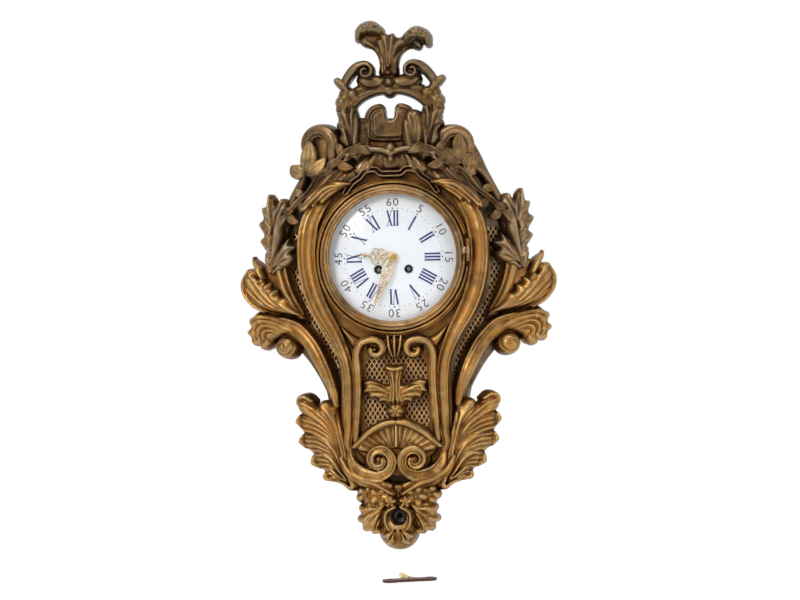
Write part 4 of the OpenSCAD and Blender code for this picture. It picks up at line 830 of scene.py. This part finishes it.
def make_base_scrolls():
    r = Relief((-70, -268), (70, -174))
    # Shell
    r.patch(mirrored("0,-182 20,-186 38,-197 46,-210 30,-224 0,-228"), 9, 6)
    for k in range(14):
        v = ray(math.radians(158 - 136 * k / 13), high=0.9)
        r.stroke([(0, -222) + v * reach for reach in (16, 30, 42)], "6 8.5 11", "11 13 13", blend=3)
    for _ in r.sides():
        r.stroke("20,-222", 36, 10, CUSHION)
        scroll = joined("49,-204 52,-213 48,-226 38,-236 21,-239.5",
                        spiral((19.5, -222), 16, 4.5, 268, -190, 40), count=90)
        r.stroke(scroll, "2 8 13 14 13 12 10.6 9 7.4 6", "6 13 17 19 19 19 19 19", FLATBAND, 0.4, 170)
        r.stroke("19.5,-222", 13, 15, CUSHION)
        r.stroke("2,-180 14,-182.5 28,-190 38,-199 47,-207", "8 10 10 9 7", "19 19 18 15 10", RAIL, 0.4)
        # Leaf sheaths that cross below
        r.plume("62,-220 53,-234 38,-243 22,-249 6,-259", "8 15 18 17 11", "9 14 17 18 15", 2, 0.14)
        r.plume("42,-238 26,-243 8,-250", "7 10 8", "13 17 16", 1, 0.1)
    r.cast("base_scroll_casting", GILT, front_seat(), "base_scrolls")


def make_spray():
    r = Relief((-40, -208), (40, -114), 0.6)
    r.stroke("0,-206 0,-190 0,-178", "8 8 10", "20 17 13")
    for _ in r.sides():
        r.patch("2,-139 12,-139 20,-135 28,-132.5 35,-136 34,-141 36,-147 31,-150 28,-155 22,-155 18,-160 "
                "12,-159 5,-163", 17, 7)
        for y0, x, y in ((-147, 32, -138), (-152, 32, -148), (-157, 22, -155)):
            r.vein((5, y0), (x, y), (-1, 3), "1.6 2.4 2.4", "1 2.4 1.8")
        r.stroke("2,-176 8,-180 11,-186", "6 8 4", "14 15 10")
    r.patch(mirrored("0,-117.5 6,-117.5 10.5,-118.5 9.5,-126 7.5,-134 7.5,-146 9.5,-158 0,-162"), 19, 6)
    for x in (-4.4, 0, 4.4):
        r.carve([(x, -160), (x * 0.8, -140), (x * 1.4, -125)], 1.7, 2)
    r.stroke("-8,-121 0,-122.5 8,-121", 8, "20 22 20", blend=3)
    # Rosette
    r.stroke("0,-168", 23, 21)
    for k in range(6):
        v = ray(math.pi * k / 3 + 0.5)
        r.carve([(0, -168) + v * 3, (0, -168) + v * 11], "1.6 2.4", "1.4 2.4")
    r.stroke("0,-168", 7, 23)
    r.cast("grille_spray_casting", GILT, front_seat(), "grille_spray")


def make_pendant():
    r = Relief((-52, -326), (52, -240))
    # Cup and the ground behind the blossoms
    r.stroke("0,-297 0,-299", 46, 26)
    r.stroke("-30,-264 0,-260 30,-264", "20 26 20", 11, CUSHION)
    for s in r.sides():
        r.plume("40,-240 24,-252 10,-262 2,-270", "9 14 13 9", "12 16 19 17", 3, 0.18)
        r.patch("12,-270 22,-269 32,-266 38,-270 44,-274 42,-281 46,-287 41,-292 40,-299 33,-299 28,-304 "
                "22,-299 17,-290", 22, 9)
        for tip in ((42, -274), (43, -286), (38, -297), (28, -302)):
            r.vein((14, -275), tip, (0, 2), "1.6 2.4 2.4", "0.6 2 1.4")
        for x, y in ((41, -275), (43, -287), (37, -297), (27, -300)):
            r.stroke([(x - 6, y * 0.98 - 5.6), (x - 1, y)], "8 9", "21 17", blend=6)
        # Blossoms; their petals are not mirrored
        for x, y, w, up in ((20, -262, 16, 10), (35, -260, 13, 7), (8, -268, 9, 12)):
            for k in range(5):
                v = w * ray(2 * math.pi * k / 5 + 0.5 * x, s)
                r.stroke([(x, y) + v * 0.2, (x, y) + v * 0.5], [w * 0.8, w], [10 + up, 11 + up], blend=3)
            r.stroke([(x, y)], w * 0.5, 14 + up, blend=1)
        # Strands round the opening and small leaves on the cup
        r.stroke("3,-273 12.5,-279 13.5,-290 8,-300", "6 8 8 6", "26 27 28 26")
        r.patch("2,-296 8,-297 15,-300 17,-306 13,-309 12,-314 6,-314 2,-310", 29, 5)
        r.carve("3,-298 7,-304 11,-312", 1.8, 3)
    centre = (0.5, -285)
    hole = np.hypot(r.x - centre[0], r.y - centre[1]) < 8.6
    r.z = np.where(hole, np.minimum(r.z, 2.0), r.z)
    r.cast("pendant_casting", GILT, front_seat(CASE_D), "pendant")
    # Painted shade: a near-black lining in the opening stands for the shade deep inside it
    c = Casting()
    c.turn(line("0.05,2.6 5,2.8 8.2,3.4 8.4,8 8.5,15 8.9,15 8.9,2.2 0.05,2.2") + [0, CASE_D], centre, 40)
    c.build("pendant_hole_painted_shade", HOLE_SHADE_INK)


# Nets

def make_net(name, node, seat, polygon, cell=(5.4, 8.8), wire=1.12, thick=0.8):
    """Diamond net of crossed wires that fills an outline."""
    c = Casting()
    p = line(polygon)
    low, high = p.min(0), p.max(0)
    slope = cell[1] / cell[0]
    x = np.linspace(low[0], high[0], 240)
    for s in (1, -1):
        start = (low[1] - s * slope * (high[0] if s > 0 else low[0])) - cell[1]
        end = high[1] - s * slope * (low[0] if s > 0 else high[0]) + cell[1]
        for k in range(int(start // cell[1]), int(end // cell[1]) + 2):
            row = np.stack([x, s * slope * x + k * cell[1]], 1)
            keep = inside(row, p)
            for run in np.split(np.arange(len(x)), np.where(np.diff(keep.astype(int)) != 0)[0] + 1):
                if keep[run[0]] and len(run) > 2:
                    path = np.linspace(row[run[0]], row[run[-1]], max(3, len(run) // 8))
                    weave = 0.075 * s * np.cos(np.linspace(0, len(run) * 0.6, len(path)))
                    band(c, seat, path, wire, thick / 2, FLAT[::4], thick / 2 + weave, -thick * 0.2)
    c.build(name, NET_GILT, replaces=(node,))


def side_outline():
    """Edge of a side net: it follows the frame and narrows to its foot."""
    edge = curve("85.5,61.8 97.9,37.1 103,8 102,-24 94,-54 74,-84 63,-110 60,-136 61,-168", 120)
    edge = edge[np.argsort(edge[:, 1])]
    y = np.linspace(36, -152, 60)
    x = np.interp(y, edge[:, 1], edge[:, 0])
    w = 13 * (0.25 + 0.75 * np.clip((y + 150) / 60, 0, 1))
    return np.vstack([np.stack([x + 1.5, y], 1), np.stack([x + 4.5 + w, y], 1)[::-1]])


# Dial

PAINT, PAINT_BASE = 0.3, 0.01  # height of the painted figures over the enamel, and of their backs
ROMAN_IN, ROMAN_OUT = 35.0, 51.5
MINUTE_R, NUMBER_R = 54.2, 56.8
FIGURE_SIZE, FIGURE_STRETCH = 12.6, 1.05
HOUR_DOT, MINUTE_DOT = 0.75, 0.42
THICK, THIN, SERIF = 1.9, 0.55, 0.5
# Width of a numeral's letter; its strokes as (foot, head, weight); its serifs at the heads and at the feet
LETTERS = {"I": (3.4, ((0, 0, THICK),), (0,), (0,)),
           "V": (7.0, ((0, -2.3, THICK), (0.4, 2.7, THIN)), (-2.3, 2.7), ()),
           "X": (7.4, ((2.3, -2.3, THICK), (-2.3, 2.3, THIN)), (-2.3, 2.3), (-2.3, 2.3))}


def dial_depth(r):
    return DIAL_EDGE_D + DIAL_RISE * (1 - (r / DIAL_R) ** 2)


def on_dial(x, y, lift=PAINT):
    return to_row(x, y, dial_depth(np.hypot(x, y)) + lift)


def paint(casting, angle, a, b, width, lift=PAINT):
    """Painted stroke between two points given as (across, radius) at an hour's angle."""
    a, b = line(a), line(b)
    run = (b - a) / np.linalg.norm(b - a)
    n = np.array([-run[1], run[0]]) * width / 2
    mid = a + (b - a) * np.linspace(0, 1, 7)[:, None]
    grid = np.stack([mid - n, mid + n], 1)
    x, y = clockwise(grid[..., 0], grid[..., 1], angle)
    casting.shell(on_dial(x, y, lift), on_dial(x, y, PAINT_BASE))


def make_roman():
    c = Casting()
    for hour, word in enumerate("XII I II III IIII V VI VII VIII IX X XI".split()):
        angle = math.radians(30 * hour)
        x = -sum(LETTERS[k][0] for k in word) / 2
        for k in word:
            width, strokes, heads, feet = LETTERS[k]
            mid = x + width / 2
            for foot, head, weight in strokes:
                paint(c, angle, (mid + foot, ROMAN_IN), (mid + head, ROMAN_OUT), weight)
            for r, ends in ((ROMAN_OUT, heads), (ROMAN_IN, feet)):
                for e in ends:
                    paint(c, angle, (mid + e - 1.5, r), (mid + e + 1.5, r), SERIF, PAINT + 0.02)
            x += width
    c.build("roman_numerals", BLUE_INK, slot="white_enamel")


def make_minutes():
    c = Casting()
    for k in range(60):
        size = MINUTE_DOT if k % 5 else HOUR_DOT
        paint(c, math.radians(6 * k), (0, MINUTE_R - size), (0, MINUTE_R + size), 2 * size)
    for k in range(12):
        text = bpy.data.curves.new("number", "FONT")
        text.body = str(5 * k) if k else "60"
        text.align_x = "CENTER"
        text.size, text.offset = FIGURE_SIZE, -0.1
        text.space_character, text.resolution_u = 1.15, 4
        holder = bpy.data.objects.new("number", text)
        flat = bpy.data.meshes.new_from_object(holder)
        flat.calc_loop_triangles()
        q = np.array([v.co[:2] for v in flat.vertices])
        x, y = clockwise(q[:, 0] * FIGURE_STRETCH, q[:, 1] + NUMBER_R, math.radians(30 * k))
        c.slab(on_dial(x, y), on_dial(x, y, PAINT_BASE), [tuple(f.vertices) for f in flat.loop_triangles])
        bpy.data.objects.remove(holder)
        bpy.data.curves.remove(text)
        bpy.data.meshes.remove(flat)
    c.build("minute_numbers", BLACK_INK, slot="white_enamel")


def make_dial_bushes():
    """Black funnels in and round the two winding holes: painted shade for the dark inside them."""
    c = Casting()
    funnel = line("4.9,0.04 4.8,0.4 4,0.35 2.8,-4 3.1,-4.2 3.9,-1.5 3.9,0.04")
    for s in (1, -1):
        c.turn(funnel + [0, dial_depth(math.hypot(HOLE_X, HOLE_Y))], (s * HOLE_X, HOLE_Y), 40)
    c.build("winding_hole_painted_shade", BLACK_INK, slot="white_enamel")


def make_hands():
    """Filigree of wires and rings."""
    def wire(path, count, width, height=0.9):
        band(c, seat, curve(path, count), width, height, ROUND[::2])

    def ring(centre, rx, ry, width, height=0.9, count=28):
        points = circle(centre, rx, ry, count)
        band(c, seat, np.vstack([points, points[:2]]), width, height, ROUND[::2])
    c, seat = Casting(), hand_seat(HOUR_D, HOUR_TURN)
    ring((0, 0), 4.2, 4.2, 2.4)
    for k in range(6):
        a = math.radians(60 * k + 30)
        ring((6.2 * math.cos(a), 17 + 6.2 * math.sin(a)), 3.3, 3.3, 1.1)
    ring((0, 17), 2.8, 2.8, 1.2, 1.0)
    for s in (1, -1):
        wire([(s * 2.8, 4), (s * 5.5, 8), (s * 4, 11.5)], 16, 1.3)
    wire("0,4.5 0,9 0,13", 10, 1.4)
    wire("0,25 0,30 0,36 0,40", 20, "2.2 1.6 1.2 0.4")
    ball(c, seat, (0, 31.5, 0.4), (3.4, 1.2, 0.6))
    c.build("hour_hand_filigree", PALE_GILT, "hour_hand", ("hour_hand",))
    c, seat = Casting(), hand_seat(MINUTE_D, MINUTE_TURN)
    ring((0, 0), 3.4, 3.4, 2.6)
    for s in (1, -1):
        wire([(s * 2.5, 3), (s * 6.2, 14), (s * 4.6, 26), (s * 2.4, 40), (s * 0.8, 53)], 50, "1.2 1.4 1.2 1")
    for k in range(7):
        y = 10 + 6.2 * k
        r = np.interp(y, [10, 18, 48], [3.0, 3.2, 1.0])
        ring((0.8 * (-1) ** k, y), r, r * 0.95, 1.0, 0.9, 20)
        wire([(-r, y - 2), (0, y + 2.6), (r, y + 4)], 12, 0.8, 0.8)
    wire("0,50 0,57 0,65", 20, "2 1.3 0.4")
    c.build("minute_hand_filigree", PALE_GILT, "minute_hand", ("minute_hand",))


# Bezel and its surround

def make_bezel():
    c = Casting()
    c.turn(curve("73,80.9 79.8,80.9 80,86 79.9,89.4 79.2,90.9 78.1,90.7 77.2,91.1 76,92.6 74.6,93.6 "
                 "73.2,92.6 72.6,91.2 71.8,91.6 70.8,91 70.1,89 70.05,87 72.9,86.8 73,80.9", 70)[:-1])
    # Hinge knuckle and its web
    foot, head, hinge = 2.0, 10.0, (83.2, 94.8)
    pin = circle(hinge, 2.2, 2.2, 24)
    c.skin(np.stack([to_row(pin[:, 0], np.full(24, y), pin[:, 1]) for y in np.linspace(foot, head, 5)]))
    web = line("76,90.6 82.4,90.8 83.4,93.4 76,93.6")
    c.skin(np.stack([to_row(web[:, 0], np.full(4, y), web[:, 1]) for y in (foot, head)]))
    c.build("bezel_ring", BEZEL_GILT, "door", ("bezel",))


def make_surround():
    """Moulding round the bezel, open at the hinge."""
    c = Casting()
    c.turn(curve("80.9,78 80.9,87.4 81.3,89.2 82.4,90 84,89.2 85,87.4 "
                 "85.8,87.4 86.4,84 86.6,78", 40), arc=(16, 352))
    c.build("dial_surround_moulding", GILT)


# Key

def plate(name, outlines, thickness, bevel):
    """Mesh of a flat plate with rounded edges from closed outlines; inner ones are holes."""
    data = bpy.data.curves.new(name, "CURVE")
    data.dimensions, data.fill_mode = "2D", "BOTH"
    data.extrude, data.bevel_depth, data.bevel_resolution = thickness / 2 - bevel, bevel, 2
    for points in outlines:
        s = data.splines.new("POLY")
        s.points.add(len(points) - 1)
        s.use_cyclic_u = True
        for p, q in zip(s.points, points):
            p.co = (q[0], q[1], 0, 1)
    holder = bpy.data.objects.new(name, data)
    mesh = bpy.data.meshes.new_from_object(holder)
    bpy.data.objects.remove(holder)
    bpy.data.curves.remove(data)
    mesh.name = name
    mesh.shade_smooth()
    return mesh


def make_key():
    turn = math.radians(17.5)
    key_x, key_d, height = 9.0, 64.0, 3.3

    def laid(p):
        """From the key drawn with its pipe up to where it lies."""
        x, y = clockwise(p[..., 0], p[..., 1], -turn)
        return to_row(key_x + x, p[..., 2] + height - KEY_FLOOR, key_d - y)
    half = curve("0,-6.4 10,-6 17,-6.9 23,-7.5 28.6,-4.8 30,0 28.6,4.8 23,7.5 17,6.4 11,6.8 7,9.6 5,14", 44)
    outline = np.vstack([half, (half * [-1, 1])[::-1]])
    wings = plate("key_wing_plate", [outline] + [circle((s * 22.5, 0), 5.2, 3.0) for s in (1, -1)], 3.0, 0.7)
    for v, p in zip(wings.vertices, laid(np.array([v.co[:] for v in wings.vertices]))):
        v.co = p
    settle(wings, IRON, "key", ("key_wings",))
    c = Casting()
    a = np.radians(np.linspace(0, 360, 32, endpoint=False))
    pipe = line("6,2.6 7,3.2 14,3.3 15,3 16,3.3 40,3.3 41.2,3.1 41.6,2.6 41.4,2 30,2")
    rings = [np.stack([r * np.cos(a), np.full_like(a, y), r * np.sin(a)], -1) for y, r in pipe]
    c.skin(laid(np.stack(rings)))
    c.build("key_pipe", BRASS, "key", ("key_shaft",), "movement_brass")


make_crest()
for sign, side_word in SIDES:
    make_wing(sign, side_word)
    make_sprig(sign, side_word)
    make_shoulder(sign, side_word)
    make_flank_leaf(sign, side_word)
    make_frame_band(sign, side_word)
    make_net(f"{side_word}_net", f"{side_word}_grille", flank_seat(sign, SIDE_NET_LIFT), side_outline())
make_net("lower_net", "lower_grille", front_seat(CASE_D + LOWER_NET_LIFT),
         "-38,-104 38,-104 39,-118 39,-194 -39,-194 -39,-118")
for make in (make_top_collar, make_panel_scrolls, make_base_scrolls, make_spray, make_pendant, make_roman,
             make_minutes, make_dial_bushes, make_hands, make_bezel, make_surround, make_key):
    make()

# Finishes of the CAD nodes that stay
FINISH = {"case_shell": CASE_BRONZE, "front_plate": GILT, "dial_surround": GILT, "grille_backings": CLOTH,
          "dial": ENAMEL, "bezel_glass": GLASS, "hand_nut": PALE_GILT, "bell": BELL}
STEEL_NODES = ("hinge_pin", "hanger_plate", "going_arbor", "strike_arbor", "clicks", "pallets_and_crutch",
               "pendulum_rod", "hammer", "bell_stand", "bell_nut")
for name, node in nodes.items():
    node.data.materials.clear()
    node.data.materials.append(FINISH.get(name, STEEL if name in STEEL_NODES else BRASS))


# Stage, light and camera

def make_floor():
    """Pale floor that keeps the shadow, and is white to straight rays, mirrors and glass."""
    mesh = bpy.data.meshes.new("floor")
    reach, z = 6.0, -(KEY_FLOOR + HANG_Y) * MM
    corners = [(-reach, -reach, z), (reach, -reach, z), (reach, reach, z), (-reach, reach, z)]
    mesh.from_pydata(corners, [], [(0, 1, 2, 3)])
    floor = bpy.data.objects.new("floor", mesh)
    bpy.context.scene.collection.objects.link(floor)
    m = Nodes("pale_floor")
    path = m.node("ShaderNodeLightPath").outputs
    seen = m.math("MAXIMUM", path["Is Camera Ray"],
                  m.math("MAXIMUM", path["Is Glossy Ray"], path["Is Transmission Ray"]))
    grey = m.level(m.noise(3.0, 3.0, 0.5), 0.3, 0.7, 0.5, 0.52)
    diffuse = m.node("ShaderNodeBsdfDiffuse", {"Color": grey})
    glow = m.node("ShaderNodeEmission", {"Color": (1, 1, 1, 1), "Strength": m.times(seen, 0.9)})
    both = m.node("ShaderNodeAddShader", {0: diffuse.outputs[0], 1: glow.outputs[0]})
    m.node("ShaderNodeOutputMaterial", {"Surface": both.outputs[0]})
    mesh.materials.append(m.owner)


def make_world():
    """White to the camera; metal mirrors a dim room with soft boxes; the rest of the light is even."""
    w = Nodes("studio", bpy.data.worlds)
    path = w.node("ShaderNodeLightPath").outputs

    def glow(direction, low, high, strength):
        dot = w.vector("DOT_PRODUCT", w.coord["Generated"], Vector(direction).normalized(), "Value")
        values = {"Value": dot, "From Min": low, "From Max": high, "To Min": 0.0, "To Max": strength}
        return w.node("ShaderNodeMapRange", values, interpolation_type="SMOOTHSTEP").outputs[0]

    def background(colour, strength):
        return w.node("ShaderNodeBackground", {"Color": (*colour, 1), "Strength": strength}).outputs[0]
    room = 0.14
    for box in (((-0.5, -0.6, 0.62), 0.72, 0.95, 1.05), ((0.9, -0.4, 0.15), 0.8, 0.97, 0.7),
                ((-0.95, -0.3, -0.1), 0.85, 0.98, 0.4), ((0.1, -0.3, 0.95), 0.8, 0.97, 0.7),
                ((0, 1, 0), -0.1, 0.4, 1.0)):
        room = w.math("ADD", room, glow(*box))
    mirror_ray = w.math("MAXIMUM", path["Is Glossy Ray"], path["Is Transmission Ray"])
    lit = w.node("ShaderNodeMixShader", {0: mirror_ray, 1: background((0.95, 0.97, 1.0), 0.38),
                                         2: background((1, 0.99, 0.97), room)})
    both = w.node("ShaderNodeMixShader", {0: path["Is Camera Ray"], 1: lit.outputs[0],
                                          2: background((1, 1, 1), 1.0)})
    w.node("ShaderNodeOutputWorld", {"Surface": both.outputs[0]})
    bpy.context.scene.world = w.owner


def make_light(name, place, aim, size, power):
    data = bpy.data.lights.new(name, "AREA")
    data.energy, data.shape, data.size, data.size_y = power, "RECTANGLE", size[0], size[1]
    lamp = bpy.data.objects.new(name, data)
    lamp.location = place
    lamp.rotation_euler = (Vector(aim) - Vector(place)).to_track_quat("-Z", "Y").to_euler()
    bpy.context.scene.collection.objects.link(lamp)


def make_camera():
    """Stands a little to the right, as the photographer did, and is tilted a little."""
    data = bpy.data.cameras.new("camera")
    camera = bpy.data.objects.new("camera", data)
    distance, width, sensor = 2.2, 0.88, 36.0
    data.sensor_width = sensor
    data.lens = sensor * distance / width
    azimuth, roll = math.radians(5.0), math.radians(1.27)
    aim = Vector((6.3, -FRONT_D, -46.9 - HANG_Y)) * MM
    back = Vector((math.sin(azimuth), -math.cos(azimuth), 0))
    right = Vector((math.sin(roll), 0, math.cos(roll))).cross(back).normalized()
    up = back.cross(right)
    place = aim + back * distance
    camera.matrix_world = Matrix(((right.x, up.x, back.x, place.x), (right.y, up.y, back.y, place.y),
                                  (right.z, up.z, back.z, place.z), (0, 0, 0, 1)))
    bpy.context.scene.collection.objects.link(camera)
    bpy.context.scene.camera = camera


make_floor()
make_world()
make_light("key_light", (-0.85, -1.85, 0.7), (0, 0, -0.15), (0.7, 1.0), 19)
make_light("fill_light", (1.5, -1.4, 0.1), (0, 0, -0.2), (0.8, 1.2), 8)
make_light("top_light", (0.1, -0.5, 1.3), (0, -0.03, -0.1), (0.9, 0.5), 7)
make_camera()
bpy.context.scene.view_settings.view_transform = "Standard"
